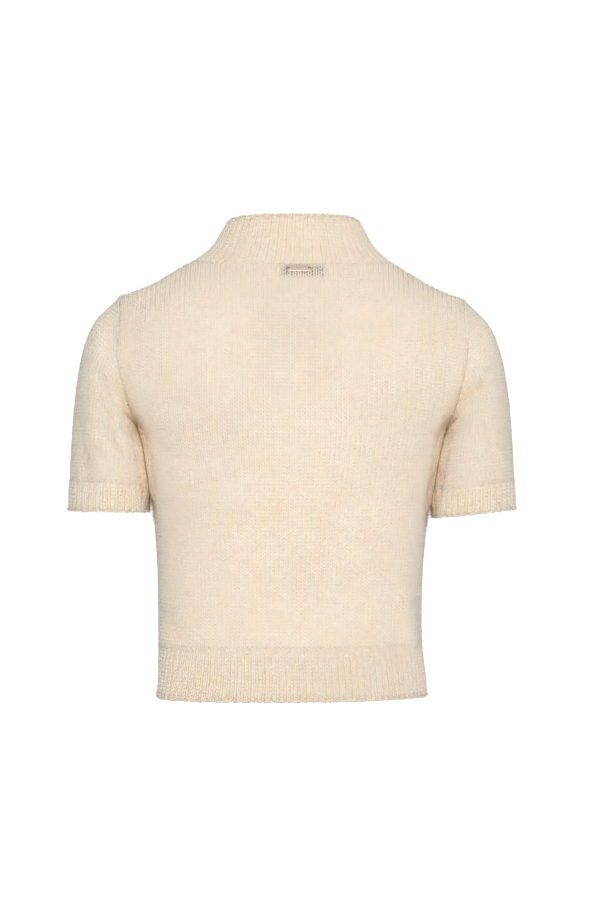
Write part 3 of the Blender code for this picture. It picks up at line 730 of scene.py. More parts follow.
def closed(grid, is_round):
    """A grid with its first column set again behind its last one, where it goes round."""
    return np.concatenate([grid, grid[:, :1]], axis=1) if is_round else grid


def cells(grid):
    """What a grid holds at the four corners of each of its cells."""
    corners = np.stack([grid[:-1, :-1], grid[:-1, 1:], grid[1:, 1:], grid[1:, :-1]], axis=2)
    return corners.reshape(-1, 4, *grid.shape[2:])


def add_mesh(name, points, faces, stitches=None):
    """A mesh in metres from points in millimetres, with its faces outwards."""
    data = bpy.data.meshes.new(name)
    data.from_pydata(np.asarray(points) * MM, [], np.asarray(faces).tolist())
    if stitches is not None:
        layer = data.uv_layers.new(name="stitches")
        layer.uv.foreach_set("vector", stitches.astype(np.float32).ravel())
    face_out(data)
    data.shade_smooth()
    return data


def face_out(data):
    """Splits faces of more than four corners and turns all faces outwards."""
    mesh = bmesh.new()
    mesh.from_mesh(data)
    bmesh.ops.triangulate(mesh, faces=[face for face in mesh.faces if len(face.verts) > 4])
    bmesh.ops.recalc_face_normals(mesh, faces=mesh.faces)
    mesh.to_mesh(data)
    mesh.free()


def add_attribute(data, key, values):
    """Gives each vertex of a mesh a number or a vector."""
    values = np.asarray(values, np.float32)
    is_vector = values.ndim > 1
    attribute = data.attributes.new(key, "FLOAT_VECTOR" if is_vector else "FLOAT", "POINT")
    attribute.data.foreach_set("vector" if is_vector else "value", values.ravel())


def add_object(name, data, material=None):
    if material:
        data.materials.clear()
        data.materials.append(material)
    piece = bpy.data.objects.new(name, data)
    bpy.context.scene.collection.objects.link(piece)
    return piece


def built(name, mesh):
    """An object from a finished bmesh."""
    data = bpy.data.meshes.new(name)
    mesh.to_mesh(data)
    mesh.free()
    return add_object(name, data)


def baked(piece):
    """What an object's modifiers or curve make, as a plain mesh. The object goes."""
    made = bpy.data.meshes.new_from_object(piece.evaluated_get(bpy.context.evaluated_depsgraph_get()))
    piece.modifiers.clear()
    bpy.data.objects.remove(piece)
    return made


# Node trees

MATH, VECTORS, RANGE, MIX = "ShaderNodeMath", "ShaderNodeVectorMath", "ShaderNodeMapRange", "ShaderNodeMix"
NOISE, WAVE, BUMP = "ShaderNodeTexNoise", "ShaderNodeTexWave", "ShaderNodeBump"
SPLIT, COMBINE = "ShaderNodeSeparateXYZ", "ShaderNodeCombineXYZ"
MESH_CARRIES, CARRIED = "ShaderNodeAttribute", "GeometryNodeInputNamedAttribute"
POSITION, SET_POSITION = "GeometryNodeInputPosition", "GeometryNodeSetPosition"
RANDOM, TURN = "FunctionNodeRandomValue", "FunctionNodeAlignRotationToVector"
SCATTER, ON_POINTS = "GeometryNodeDistributePointsOnFaces", "GeometryNodeInstanceOnPoints"


def add_node(tree, kind, *values, **named):
    """Adds a node and gives its first output in use.

    Values fill its inputs in order, a name with a capital fills that input, and the rest are settings.
    """
    made = tree.nodes.new(kind)
    for name, value in named.items():
        if name.islower():
            setattr(made, name, value)
    fill(made, *values, **{name: value for name, value in named.items() if not name.islower()})
    return next((socket for socket in made.outputs if socket.enabled), None)


def fill(made, *values, **named):
    """Fills a node's inputs, in order or by name, with values or with other nodes' outputs."""
    in_use = [socket for socket in made.inputs if socket.enabled]
    titled = {socket.name.replace(" ", "_"): socket for socket in reversed(in_use)}
    for socket, value in [*zip(in_use, values), *((titled[name], named[name]) for name in named)]:
        if isinstance(value, bpy.types.NodeSocket):
            made.id_data.links.new(value, socket)
        else:
            socket.default_value = value


def new_tree(name, sockets):
    """A geometry tree with these inputs past its geometry, its add-node helper and what it is given."""
    tree = bpy.data.node_groups.new(name, "GeometryNodeTree")
    tree.is_modifier = True
    tree.interface.new_socket("Geometry", in_out="OUTPUT", socket_type="NodeSocketGeometry")
    for socket, kind in {"Geometry": "Geometry", **sockets, "Seed": "Int", "Yarn": "Material"}.items():
        tree.interface.new_socket(socket, in_out="INPUT", socket_type=f"NodeSocket{kind}")
    node = partial(add_node, tree)
    return tree, node, node("NodeGroupInput").node.outputs


def end_tree(node, parts, material):
    """Joins parts and ends the tree in plain faces with one material."""
    whole = node("GeometryNodeJoinGeometry")
    for part in parts:
        whole.id_data.links.new(part, whole.node.inputs[0])
    soft = node("GeometryNodeSetShadeSmooth", node("GeometryNodeRealizeInstances", whole))
    node("NodeGroupOutput", node("GeometryNodeSetMaterial", soft, Material=material))


def run_tree(tree, data, name, values):
    """Runs a geometry tree on a mesh with these inputs and gives the result as a plain object."""
    carrier = add_object(name, data)
    modifier = carrier.modifiers.new(tree.name, "NODES")
    modifier.node_group = tree
    for item in tree.interface.items_tree:
        if item.item_type == "SOCKET" and item.in_out == "INPUT" and item.name in values:
            modifier[item.identifier] = values[item.name]
    made = baked(carrier)
    bpy.data.meshes.remove(data)
    made.name = name
    for key in ("up", "out", "size", "nap", "fringe"):
        if key in made.attributes:
            made.attributes.remove(made.attributes[key])
    return add_object(name, made)


def yarn_tree(name, sides):
    """Lays closed, rounded legs of yarn on every point, each on its own side of it and leaning that way.

    Each point carries the directions up its line and out of the cloth, and its size.
    """
    sizes = ("Leg Length", "Leg Width", "Leg Thickness", "Lean", "Spread", "Unevenness")
    tree, node, given = new_tree(name, dict.fromkeys(sizes, "Float"))
    length, width, thickness, lean_angle, spread, uneven = (given[key] for key in sizes)
    up, out, size = (node(CARRIED, key, data_type="FLOAT_VECTOR") for key in ("up", "out", "size"))
    across = node(VECTORS, up, out, operation="CROSS_PRODUCT")

    ball = node("GeometryNodeMeshUVSphere", LEG_SIDES, LEG_RINGS, 0.5)
    # How far out each point of a leg lies, which sets the painted shade on its flanks
    ridge = node(RANGE, node(SPLIT, node(POSITION)), From_Min=-0.25, From_Max=0.4)
    ball = node("GeometryNodeStoreNamedAttribute", ball, Name="ridge", Value=ridge)
    leg = node("GeometryNodeTransform", ball, Scale=node(COMBINE, thickness, width, length))
    rise, drift = (node(MATH, lean_angle, operation=way) for way in ("COSINE", "SINE"))
    upward = node(VECTORS, up, rise, operation="SCALE")
    least, most = (node(MATH, 1.0, uneven, operation=way) for way in ("SUBTRACT", "ADD"))

    legs = []
    for side in sides:
        seed = node(MATH, given["Seed"], side + 2.0, operation="MULTIPLY")
        sideways = node(MATH, drift, float(side), operation="MULTIPLY")
        aim = node(VECTORS, upward, node(VECTORS, across, sideways, operation="SCALE"))
        stir = node(RANDOM, (-1.0,) * 3, (1.0,) * 3, Seed=seed, data_type="FLOAT_VECTOR")
        aim = node(VECTORS, aim, node(VECTORS, stir, uneven, operation="SCALE"))
        grown = node(VECTORS, size, node(RANDOM, least, most, Seed=seed), operation="SCALE")

        shift = node(MATH, spread, float(side), operation="MULTIPLY")
        shift = node(MATH, shift, node(SPLIT, size).node.outputs["Y"], operation="MULTIPLY")
        shift = node(VECTORS, across, shift, operation="SCALE")
        placed = node(SET_POSITION, given["Geometry"], Offset=shift)
        turn = node(TURN, Vector=aim, axis="Z")
        turn = node(TURN, turn, Vector=out, axis="X", pivot_axis="Z")
        legs.append(node(ON_POINTS, placed, Instance=leg, Rotation=turn, Scale=grown))
    end_tree(node, legs, given["Yarn"])
    return tree


def nap_tree():
    """Scatters tapering fibres over a surface: many flat ones and some long, bent ones that stand off.

    The surface carries how thickly each kind grows, as "nap" and "fringe".
    """
    measures = ("Fibres", "Fibre Length", "Fibre Thickness", "Fibre Lift")
    sockets = {f"{kind} {measure}": "Float" for kind in NAP for measure in measures}
    tree, node, given = new_tree("nap_fibres", {**sockets, "Combing": "Vector"})
    grown = []
    for number, (kind, carried) in enumerate((("Flat", "nap"), ("Long", "fringe"))):
        count, length, thickness, lift = (given[f"{kind} {measure}"] for measure in measures)
        seed = node(MATH, given["Seed"], 10.0 * number)
        density = node(MATH, count, node(CARRIED, carried), operation="MULTIPLY")
        spots = node(SCATTER, given["Geometry"], Density=density, Seed=seed)
        normal = spots.node.outputs["Normal"]

        radius = node(MATH, thickness, 0.5, operation="MULTIPLY")
        cone = {"Side_Segments": number + 1, "Radius_Top": 0.0, "Radius_Bottom": radius, "Depth": length}
        cone = node("GeometryNodeMeshCone", 3, fill_type="NGON", **cone)
        height = node(MATH, node(SPLIT, node(POSITION)).node.outputs["Z"], length, operation="DIVIDE")
        bow = node(MATH, node(MATH, height, 2.0, operation="POWER"), length, operation="MULTIPLY")
        bow = node(COMBINE, node(MATH, bow, FIBRE_BOW, operation="MULTIPLY"))
        fibre = node(SET_POSITION, cone, Offset=bow)

        stir = node(RANDOM, (-1.0,) * 3, (1.0,) * 3, Seed=seed, data_type="FLOAT_VECTOR")
        level = node(VECTORS, stir, node(VECTORS, stir, normal, operation="PROJECT"), operation="SUBTRACT")
        level = node(VECTORS, level, given["Combing"], operation="MULTIPLY")
        level = node(VECTORS, level, operation="NORMALIZE")
        steep = node(RANDOM, Max=lift, Seed=seed)
        aim = node(VECTORS, level, node(VECTORS, normal, steep, operation="SCALE"))
        turn = node(TURN, Vector=aim, axis="Z")
        turn = node(TURN, turn, Vector=stir, axis="X", pivot_axis="Z")
        scale = node(RANDOM, *FIBRE_SIZES, Seed=seed)
        grown.append(node(ON_POINTS, spots, Instance=fibre, Rotation=turn, Scale=scale))
    end_tree(node, grown, given["Yarn"])
    return tree


# Materials


def to_linear(code):
    """Linear colour of an sRGB hex value."""
    parts = [int(code[i : i + 2], 16) / 255 for i in (1, 3, 5)]
    return (*(part / 12.92 if part <= 0.04045 else ((part + 0.055) / 1.055) ** 2.4 for part in parts), 1.0)


def new_material(name):
    """A material, its add-node helper and its object coordinates."""
    material = bpy.data.materials.new(name)
    material.use_nodes = True
    node = partial(add_node, material.node_tree)
    return material, node, node("ShaderNodeTexCoord").node.outputs["Object"]


def shade(material, **inputs):
    """Fills the inputs of a material's shader."""
    fill(material.node_tree.nodes["Principled BSDF"], **inputs)
    return material


def wool_yarn(name, pale, deep, is_ground=False, groove_shade=None):
    """Brushed wool blend: soft and matt, mottled where it is felted, with painted warm shade in the yarn's
    grooves, in creases and where it swells against other wool.
    """
    material, node, place = new_material(name)
    clouds = node(NOISE, Vector=place, Scale=1 / (38 * MM), Detail=3.0, Roughness=0.55)
    flecks = node(NOISE, Vector=place, Scale=1 / (5.2 * MM), Detail=4.0, Roughness=0.62)
    share = node(RANGE, node(MATH, clouds, flecks), From_Min=0.72, From_Max=1.28)
    colour = node(MIX, share, to_linear(deep), to_linear(pale), data_type="RGBA")
    # Painted shade: warm where the cloth creases, swells against other wool or faces the arm
    painted_warm = node(MESH_CARRIES, attribute_name="warmth").node.outputs["Fac"]
    colour = node(MIX, painted_warm, colour, to_linear(WARM_SHADE_COLOUR), data_type="RGBA")
    if groove_shade:
        # Painted shade: the flanks of each leg, down in the grooves, take the deeper groove colour
        ridge = node(MESH_CARRIES, attribute_name="ridge").node.outputs["Fac"]
        colour = node(MIX, ridge, to_linear(groove_shade), colour, data_type="RGBA")
    # Felted fibres just under a millimetre apart, drawn coarser than real wool so that they show
    felt = node(NOISE, Vector=place, Scale=1 / (0.9 * MM), Detail=5.0, Roughness=0.7)
    bump = {"Height": felt, "Strength": 0.35, "Distance": 0.5 * MM}
    if is_ground:
        colour = label_shadow(node, place, colour)
        bump["Normal"] = purl_bump(node)
    wool = {"Base_Color": colour, "Roughness": 0.95, "Specular_IOR_Level": 0.12}
    glow = {"Subsurface_Weight": WOOL_GLOW, "Subsurface_Radius": (1.0, 0.75, 0.55)}
    return shade(material, **wool, **glow, Subsurface_Scale=1.6 * MM, Normal=node(BUMP, **bump))


def purl_bump(node):
    """The wavy rows that the back of stocking stitch shows, one for each course."""
    turn, wave_height = 2 * math.pi, 0.22
    spot = node(SPLIT, node("ShaderNodeUVMap", uv_map="stitches")).node.outputs
    wale = node(MATH, node(MATH, spot["X"], turn, operation="MULTIPLY"), operation="COSINE")
    course = node(MATH, wale, wave_height, spot["Y"], operation="MULTIPLY_ADD")
    course = node(MATH, node(MATH, course, turn, operation="MULTIPLY"), operation="COSINE")
    return node(BUMP, Height=course, Distance=0.3 * MM)


def label_shadow(node, place, colour):
    """Darkens the cloth under the stitches where the woven label lies behind the back neck."""
    spot = node(SPLIT, place).node.outputs
    inside = node(MATH, spot["Y"], 0.0, operation="LESS_THAN")
    for axis, centre, width in (("X", LABEL_CENTRE[0], LABEL_WIDTH), ("Z", LABEL_CENTRE[1], LABEL_HEIGHT)):
        off = node(MATH, node(MATH, spot[axis], centre * MM, operation="SUBTRACT"), operation="ABSOLUTE")
        dark, clear = [(width / 2 + past) * MM for past in LABEL_EDGE]
        near = node(RANGE, off, From_Min=clear, From_Max=dark)
        inside = node(MATH, inside, near, operation="MULTIPLY")
    return node(MIX, inside, colour, to_linear(LABEL_SHADOW), data_type="RGBA")


def brushed_steel():
    """Stamped steel, satin brushed along the plate: fine level scratches blur what it reflects."""
    material, node, place = new_material("brushed_steel")
    along = node("ShaderNodeMapping", place, Scale=(0.05 / MM, 0.05 / MM, 4.0 / MM))
    scratches = node(NOISE, Vector=along, Scale=1.0, Detail=3.0, Roughness=0.6)
    rough = node(RANGE, scratches, To_Min=0.44, To_Max=0.6)
    bump = node(BUMP, Height=scratches, Strength=0.2, Distance=0.05 * MM)
    return shade(material, Base_Color=to_linear("#E5D6C6"), Metallic=1.0, Roughness=rough, Normal=bump)


def woven_label():
    """Damask label tape in polyester: dark threads, a third of a millimetre apart, woven plain."""
    material, node, place = new_material("woven_damask_label")
    weave = 1.0
    for way in ("X", "Z"):
        threads = node(WAVE, place, Scale=WAVE_REPEAT / (0.33 * MM), bands_direction=way)
        weave = node(MATH, threads.node.outputs["Fac"], weave, operation="MULTIPLY")
    colour = node(MIX, weave, to_linear("#26241F"), to_linear("#3F3B36"), data_type="RGBA")
    bump = node(BUMP, Height=weave, Strength=0.5, Distance=0.15 * MM)
    return shade(material, Base_Color=colour, Roughness=0.7, Sheen_Weight=0.2, Normal=bump)


def sewing_thread():
    """Spun polyester sewing thread: matt, with a twist that shows as slanting ridges."""
    material, node, place = new_material("spun_sewing_thread")
    twist = {"Scale": WAVE_REPEAT / (0.5 * MM), "Distortion": 1.5}
    twist = node(WAVE, place, **twist, bands_direction="DIAGONAL").node.outputs["Fac"]
    bump = node(BUMP, Height=twist, Strength=0.4, Distance=0.1 * MM)
    return shade(material, Base_Color=to_linear("#9C8877"), Roughness=0.6, Normal=bump)


def studio_white():
    """Matt white paper sweep, plain white to the camera."""
    material, node, _ = new_material("white_paper_sweep")
    paper = {"Base_Color": to_linear("#E4E4E4"), "Roughness": 1.0, "Specular_IOR_Level": 0.0}
    seen = node("ShaderNodeLightPath")
    return shade(material, **paper, Emission_Color=to_linear("#FFFFFF"), Emission_Strength=seen)


# Knitted pieces

# Each stitch's place, directions, size and painted warm shade
Stitches = namedtuple("Stitches", "places ups outs sizes warmths")


def picked(stitches, chosen):
    return Stitches(*(values[chosen] for values in stitches))


def joined(several):
    return Stitches(*(np.concatenate(values) for values in zip(*several)))


def base_cloth(name, cloth, ground):
    """The closed shell under the stitches, with waves where it is ribbed and a map of its stitches."""
    inset = blend(GROUND_INSET, FELTED_INSET, haze(cloth.points))[..., None]
    outer = cloth.points + cloth.rib_rise(RIB_GROUND_RISE) - inset * cloth.normals
    inner = cloth.points + cloth.rib_rise(RIB_GROUND_RISE / 2) - INNER_INSET * cloth.normals
    open_seams((outer, inner), cloth.seams)
    count = outer[..., 0].size
    outside = closed(np.arange(count).reshape(outer.shape[:2]), cloth.is_round)
    inside, stitches = outside + count, stitch_map(cloth)
    sides = [(outside, stitches), (inside, stitches)]
    for edge in (0, -1) if cloth.is_round else (0, -1, np.s_[:, 0], np.s_[:, -1]):
        sides.append((np.stack([outside[edge], inside[edge]]), np.stack([stitches[edge]] * 2)))
    faces = np.concatenate([cells(numbers) for numbers, _ in sides])
    corners = np.concatenate([cells(spots) for _, spots in sides])
    points = np.concatenate([outer.reshape(-1, 3), inner.reshape(-1, 3)])
    data = add_mesh(f"{name}_cloth", points, faces, corners)
    # Painted warm shade where the cloth creases or swells against the body
    add_attribute(data, "warmth", np.tile(warmth(cloth.points, cloth.swell).ravel(), 2))
    return add_object(f"{name}_cloth", data, ground)


def stitch_map(cloth):
    """How many wales across and courses along each point of a grid lies."""
    points = closed(cloth.points, cloth.is_round)
    across = np.linalg.norm(np.diff(points, axis=1), axis=-1) / WALE
    if cloth.ribs:
        across = np.full(across.shape, 2 * cloth.ribs / across.shape[1])
    along = np.linalg.norm(np.diff(points, axis=0), axis=-1) / COURSE
    spots = np.zeros((*points.shape[:2], 2))
    spots[:, 1:, 0] = np.cumsum(across, axis=1)
    spots[1:, :, 1] = np.cumsum(along, axis=0)
    return spots


def wale_lines(face):
    """Lines up the wales of a panel, from the hem seam to the neckline and the shoulder seams."""
    _, _, run = quarter_section(ARMPIT[0], depth(ARMPIT[1], face), ROUNDED)
    half = round(run[-1] / WALE)
    shares = (np.arange(-half, half) + 0.5) / half
    lower = level_section(np.linspace(HEM_SEAM, ARMPIT[1], LINE_STEPS), shares, face)
    arcs = shares * run[-1]
    rows = []
    for height in np.linspace(ARMPIT[1], STRAIGHT_FROM, LINE_STEPS // 2 + 1)[1:]:
        out, _, run = quarter_section(half_width(height, face), depth(height, face), ROUNDED)
        x = np.sign(arcs) * np.interp(np.abs(arcs), run, out)
        rows.append(np.stack([x, cloth_y(x, height, face), np.full(len(x), height)], axis=-1))
    x = rows[-1][:, 0]
    for share in 1 - np.linspace(1, 0, LINE_STEPS + 1)[1:] ** 2:
        z = blend(STRAIGHT_FROM, top_edge(np.abs(x), face), share)
        rows.append(np.stack([x, cloth_y(x, z, face), z], axis=-1))
    return np.concatenate([lower, np.array(rows)])


def sleeve_lines(side):
    """Lines up the wales of a sleeve, from the cuff seam to the armhole."""
    rings = closed(sleeve_ring(side, np.linspace(1, 0, SLEEVE_RINGS), RING_POINTS), True)
    lengths = [run_along(*ring.T) for ring in rings]
    count = round(lengths[len(rings) // 2][-1] / WALE)
    lines = np.empty((len(rings), count, 3))
    for line, ring, run in zip(lines, rings, lengths):
        line[:] = read_along(ring, run, np.arange(count) / count * run[-1])
    return lines


def read_along(values, run, at):
    """Reads points or directions along a line at these lengths."""
    return np.stack([np.interp(at, run, values[:, axis]) for axis in range(3)], axis=-1)


def on_form(lines, cloth, outward):
    """Shapes lines of points as the cloth is, and gives their outward directions and painted warm shade."""
    lines = lean(lines)
    normals = unit(face_sums(lines, cloth.is_round)) * outward
    lines = lines + fold_height(lines)[..., None] * normals
    swell = touch_swell(lines, normals, cloth.beside)
    lines = lines + swell * normals
    return lines, unit(face_sums(lines, cloth.is_round)) * outward, warmth(lines, swell)


def warmth(points, swell):
    """Painted warm shade where the wool folds against itself and light only comes through it."""
    creased = sum(nearness(crease, points) for crease in CREASES)
    swollen = eased(swell[..., 0], *WARM_SHADE_SWELL)
    return np.clip(SWELL_WARM_SHADE * swollen + CREASE_WARM_SHADE * creased, 0, 1)


def line_spacing(lines, is_round):
    """How far apart the lines are at each of their points."""
    steps = np.linalg.norm(np.diff(closed(lines, is_round), axis=1), axis=-1)
    if is_round:
        return (steps + np.roll(steps, 1, axis=1)) / 2
    padded = np.concatenate([steps[:, :1], steps, steps[:, -1:]], axis=1)
    return (padded[:, 1:] + padded[:, :-1]) / 2


def spaced(line, outs, widths, pitch, end_room=0.0, warmths=None):
    """Stitches evenly up one line, each as wide as the line's room there."""
    run = run_along(*line.T)
    count = max(1, round((run[-1] - end_room) / pitch))
    at = (np.arange(count) + 0.5) / count * (run[-1] - end_room)
    ups = unit(read_along(line, run, at + 1) - read_along(line, run, at - 1))
    sizes = np.ones((count, 3))
    sizes[:, 1] = np.clip(np.interp(at, run, widths), *STITCH_WIDTHS)
    warmths = np.zeros(count) if warmths is None else np.interp(at, run, warmths)
    return Stitches(read_along(line, run, at), ups, unit(read_along(outs, run, at)), sizes, warmths)


def up_lines(lines, normals, warmths, is_round, wale, end_room=0.0):
    """Stitches up every line."""
    widths = line_spacing(lines, is_round) / wale
    several = []
    for column in range(lines.shape[1]):
        line, outs, warm_shade = lines[:, column], normals[:, column], warmths[:, column]
        several.append(spaced(line, outs, widths[:, column], COURSE, end_room, warm_shade))
    return joined(several)


def knit(tree, name, stitches, yarn, **sizes):
    """Turns stitch places into yarn, as one piece."""
    data = bpy.data.meshes.new(name)
    data.from_pydata(stitches.places * MM, [], [])
    keys = ("up", "out", "size", "warmth")
    for key, values in zip(keys, (stitches.ups, stitches.outs, stitches.sizes, stitches.warmths)):
        add_attribute(data, key, values)
    legs = {"Leg Length": LEG_LENGTH * MM, "Leg Width": LEG_WIDTH * MM, "Leg Thickness": LEG_THICKNESS * MM}
    pose = {"Lean": LEG_LEAN, "Spread": LEG_SPREAD * MM, "Unevenness": UNEVENNESS}
    sizes = {key.replace("_", " ").title(): value for key, value in sizes.items()}
    return run_tree(tree, data, name, {**legs, **pose, **sizes, "Seed": SEED, "Yarn": yarn})


def haze(places):
    """How far brushing has felted the stitches over: least on the upper back, most on the sleeves."""
    x, z = places[..., 0], places[..., 2]
    covered = np.maximum(eased(-z, *HAZE_BELOW), eased(np.abs(x), *HAZE_BESIDE))
    (wide, aside), (tall, above) = HAZE_WAVES
    patches = np.sin(x / wide + aside) * np.sin(z / tall + above)
    return np.clip(HAZE_LEAST + HAZE_MORE * covered + HAZE_PATCHY * patches, 0, 1)


def stocking_stitch(tree, name, stitches, parts, yarn):
    """The stitches of a plain piece, in as many pieces of yarn as given, from the bottom up."""
    sink = STITCH_INSET + HAZE_SINK * haze(stitches.places)
    stitches = stitches._replace(places=stitches.places - sink[:, None] * stitches.outs)
    order = np.argsort(stitches.places[:, 2], kind="stable")
    titles = [f"{name}_yarn_{number + 1}" for number in range(parts)] if parts > 1 else [f"{name}_yarn"]
    shares = np.array_split(order, parts)
    return [knit(tree, title, picked(stitches, share), yarn) for title, share in zip(titles, shares)]


def rib_stitches(tree, name, cloth, yarn):
    """A line of stitches up the crest of each rib."""
    raised = cloth.points + cloth.rib_rise(RIB_RISE) - STITCH_INSET * cloth.normals
    lines, normals, swell = (on_crests(cloth, grid) for grid in (raised, cloth.normals, cloth.swell))
    stitches = up_lines(lines, normals, warmth(lines, swell), cloth.is_round, RIB_WALE, end_room=EDGE_ROOM)
    if name != "neckband":
        stitches = stitches._replace(ups=-stitches.ups)
    return knit(tree, f"{name}_yarn", stitches, yarn, lean=RIB_LEG_LEAN)


def on_crests(cloth, grid):
    """Reads a grid up the crest of each rib."""
    grid = closed(grid, cloth.is_round)
    at = (np.arange(cloth.ribs) + 0.5) / cloth.ribs * (grid.shape[1] - 1)
    before = np.minimum(at.astype(int), grid.shape[1] - 2)
    return blend(grid[:, before], grid[:, before + 1], (at - before)[:, None])


def chain(line, outs, is_closed, sink, size):
    """A row of links along a line, drawn into the cloth by the given depth."""
    if is_closed:
        line, outs = np.concatenate([line, line[:1]]), np.concatenate([outs, outs[:1]])
    links = spaced(line, outs, np.ones(len(line)), LINK_PITCH, warmths=np.full(len(line), LINK_WARM_SHADE))
    return links._replace(places=links.places - sink * links.outs, sizes=links.sizes * size)


def seam_chains(cloths):
    """The links of every seam and every cast-off edge, by the cloth that carries them."""
    chains = {}
    ragged = np.random.RandomState(SEED)
    for name, cloth in cloths.items():
        points, normals = cloth.points, cloth.normals
        rows = []
        if cloth.ribs:
            seam = NECK_SEAM if name == "neckband" else HIDDEN_SEAM
            rows.append((points[0], normals[0], cloth.is_round, *seam))
            inward = unit(points[-2] - points[-1])
            room = EDGE_ROOM / 2 + ragged.uniform(-EDGE_RAGGED, EDGE_RAGGED, (len(inward), 1))
            edge = points[-1] + cloth.rib_rise(RIB_RISE)[-1] + room * inward
            rows.append((edge, normals[-1], cloth.is_round, *CAST_OFF))
        if name.startswith("sleeve"):
            rows.append((points[1], normals[1], True, *HIDDEN_SEAM))
        for place in OPEN_SEAMS.get(name, ()):
            rows.append((points[place], normals[place], False, *HIDDEN_SEAM))
        if rows:
            chains[name] = joined([chain(*row) for row in rows])
    return chains


def seam_stitches(name, cloth):
    """A line of stitches up each armhole of a panel, and up each side seam of the back."""
    foot = 0 if name == "back_panel" else ROWS_BELOW_ARMPIT
    several = []
    for column in (0, -1):
        line, outs = cloth.points[foot:, column], cloth.normals[foot:, column]
        warm_shade = warmth(line, cloth.swell[foot:, column])
        several.append(spaced(line + ARMHOLE_LIFT * outs, outs, np.ones(len(line)), COURSE, warmths=warm_shade))
    return joined(several)


def nap_on(tree, name, cloth, seed, yarn):
    """Loose fibres over the outside of a piece, thicker at its free edge and beside the arm."""
    outer = cloth.points + cloth.rib_rise(RIB_RISE) - NAP_INSET * cloth.normals
    grown = {
        # Painted warm shade where the cloth creases or swells, and most in the crevice beside the arm
        "warmth": np.maximum(warmth(cloth.points, cloth.swell), CREVICE_WARM_SHADE * cloth.crevice),
        "nap": blend(NAP_SHARE, 1.0, haze(cloth.points)),
        "fringe": 1 + CREVICE_FRINGE * cloth.crevice,
    }
    if cloth.ribs:
        grown["fringe"][-1] = EDGE_FRINGE
        outer = np.concatenate([outer, outer[-1:] - WALL * cloth.normals[-1:]])
        grown = {key: np.concatenate([values, values[-1:]]) for key, values in grown.items()}
    faces = cells(closed(np.arange(outer[..., 0].size).reshape(outer.shape[:2]), cloth.is_round))
    if np.sum(face_sums(outer, cloth.is_round)[: len(cloth.normals)] * cloth.normals) < 0:
        faces = faces[:, ::-1]
    data = bpy.data.meshes.new(f"{name}_nap")
    data.from_pydata(outer.reshape(-1, 3) * MM, [], faces.tolist())
    for key, values in grown.items():
        add_attribute(data, key, values.ravel())
    values = {"Combing": COMBING, "Seed": seed, "Yarn": yarn}
    for kind, (count, length, thickness, lift) in NAP.items():
        values[f"{kind} Fibres"], values[f"{kind} Fibre Lift"] = count, lift
        values[f"{kind} Fibre Length"] = length * MM
        values[f"{kind} Fibre Thickness"] = thickness * MM
    return run_tree(tree, data, f"{name}_nap", values)


def cut_size(cloth):
    """Width and length of a piece's cut, and its area, in metres."""
    points = closed(cloth.points, cloth.is_round)
    widths = np.linalg.norm(np.diff(points, axis=1), axis=-1).sum(axis=1)
    lengths = np.linalg.norm(np.diff(points, axis=0), axis=-1).sum(axis=0)
    area = np.linalg.norm(face_normals(points), axis=-1).sum() / 2
    return (float(widths.max()) * MM, float(lengths.max()) * MM), float(area) * MM * MM


def hangs_from(name):
    """The cloth that each piece hangs from."""
    if name.startswith("sleeve") or name == "neckband":
        return ["back_panel_cloth", "front_panel_cloth"]
    if name.startswith("cuff"):
        return [name.replace("cuff", "sleeve") + "_cloth"]
    if name.startswith("hem_rib"):
        return [name.replace("hem_rib_", "") + "_panel_cloth"]
    return []


# Name plate


def on_back(x, z, outward):
    """A point beside the back panel at the nape, in metres, moved out from the cloth's outer face."""
    step = 0.5
    spots = ((x, z), (x + step, z), (x, z + step))
    here, right, up = (np.array([a, float(cloth_y(a, b, BACK)), b]) for a, b in spots)
    normal = np.cross(right - here, up - here)
    return Vector(here + outward * normal / np.linalg.norm(normal)) * MM


def plate_holes():
    """How far the two sewing holes lie from the middle of the body."""
    return [PLATE_CENTRE[0] + end * (PLATE_WIDTH / 2 - PLATE_HOLE_INSET) for end in (-1, 1)]


def name_plate(steel):
    """A blank plate with rounded corners and edges and a hole at each end, curved to the nape."""
    plate = bmesh.new()
    bmesh.ops.create_cube(plate, size=1.0)
    bmesh.ops.scale(plate, vec=(PLATE_WIDTH, PLATE_HEIGHT, PLATE_THICKNESS), verts=plate.verts)
    level = 0.1
    upright = [edge for edge in plate.edges if abs(edge.verts[0].co.z - edge.verts[1].co.z) > level]
    corner_bend = {"segments": PLATE_CORNER_STEPS, "profile": 0.5, "affect": "EDGES"}
    bmesh.ops.bevel(plate, geom=upright, offset=PLATE_CORNER, **corner_bend)
    top = [edge for edge in plate.edges if all(vert.co.z > level for vert in edge.verts)]
    top_bend = {"segments": PLATE_BEVEL_STEPS, "profile": 0.6, "affect": "EDGES"}
    bmesh.ops.bevel(plate, geom=top, offset=PLATE_BEVEL, **top_bend)

    drill = bmesh.new()
    for hole in plate_holes():
        size = {"radius1": PLATE_HOLE_RADIUS, "radius2": PLATE_HOLE_RADIUS, "depth": DRILL_LENGTH}
        made = bmesh.ops.create_cone(drill, cap_ends=True, segments=PLATE_HOLE_SIDES, **size)
        bmesh.ops.translate(drill, vec=(hole - PLATE_CENTRE[0], 0, 0), verts=made["verts"])
    body, bit = built("name_plate_body", plate), built("name_plate_drill", drill)
    cut = body.modifiers.new("holes", "BOOLEAN")
    cut.operation, cut.solver, cut.object = "DIFFERENCE", "EXACT", bit
    made = baked(body)
    bpy.data.objects.remove(bit)

    lift = SEAM_GAP + PLATE_THICKNESS / 2
    for vert in made.vertices:
        x, z, height = vert.co
        vert.co = on_back(PLATE_CENTRE[0] + x, PLATE_CENTRE[1] + z, lift + height)
    face_out(made)
    made.name = "name_plate_steel"
    made.shade_smooth()
    made.set_sharp_from_angle(angle=PLATE_SHARP)
    return add_object("name_plate_steel", made, steel)


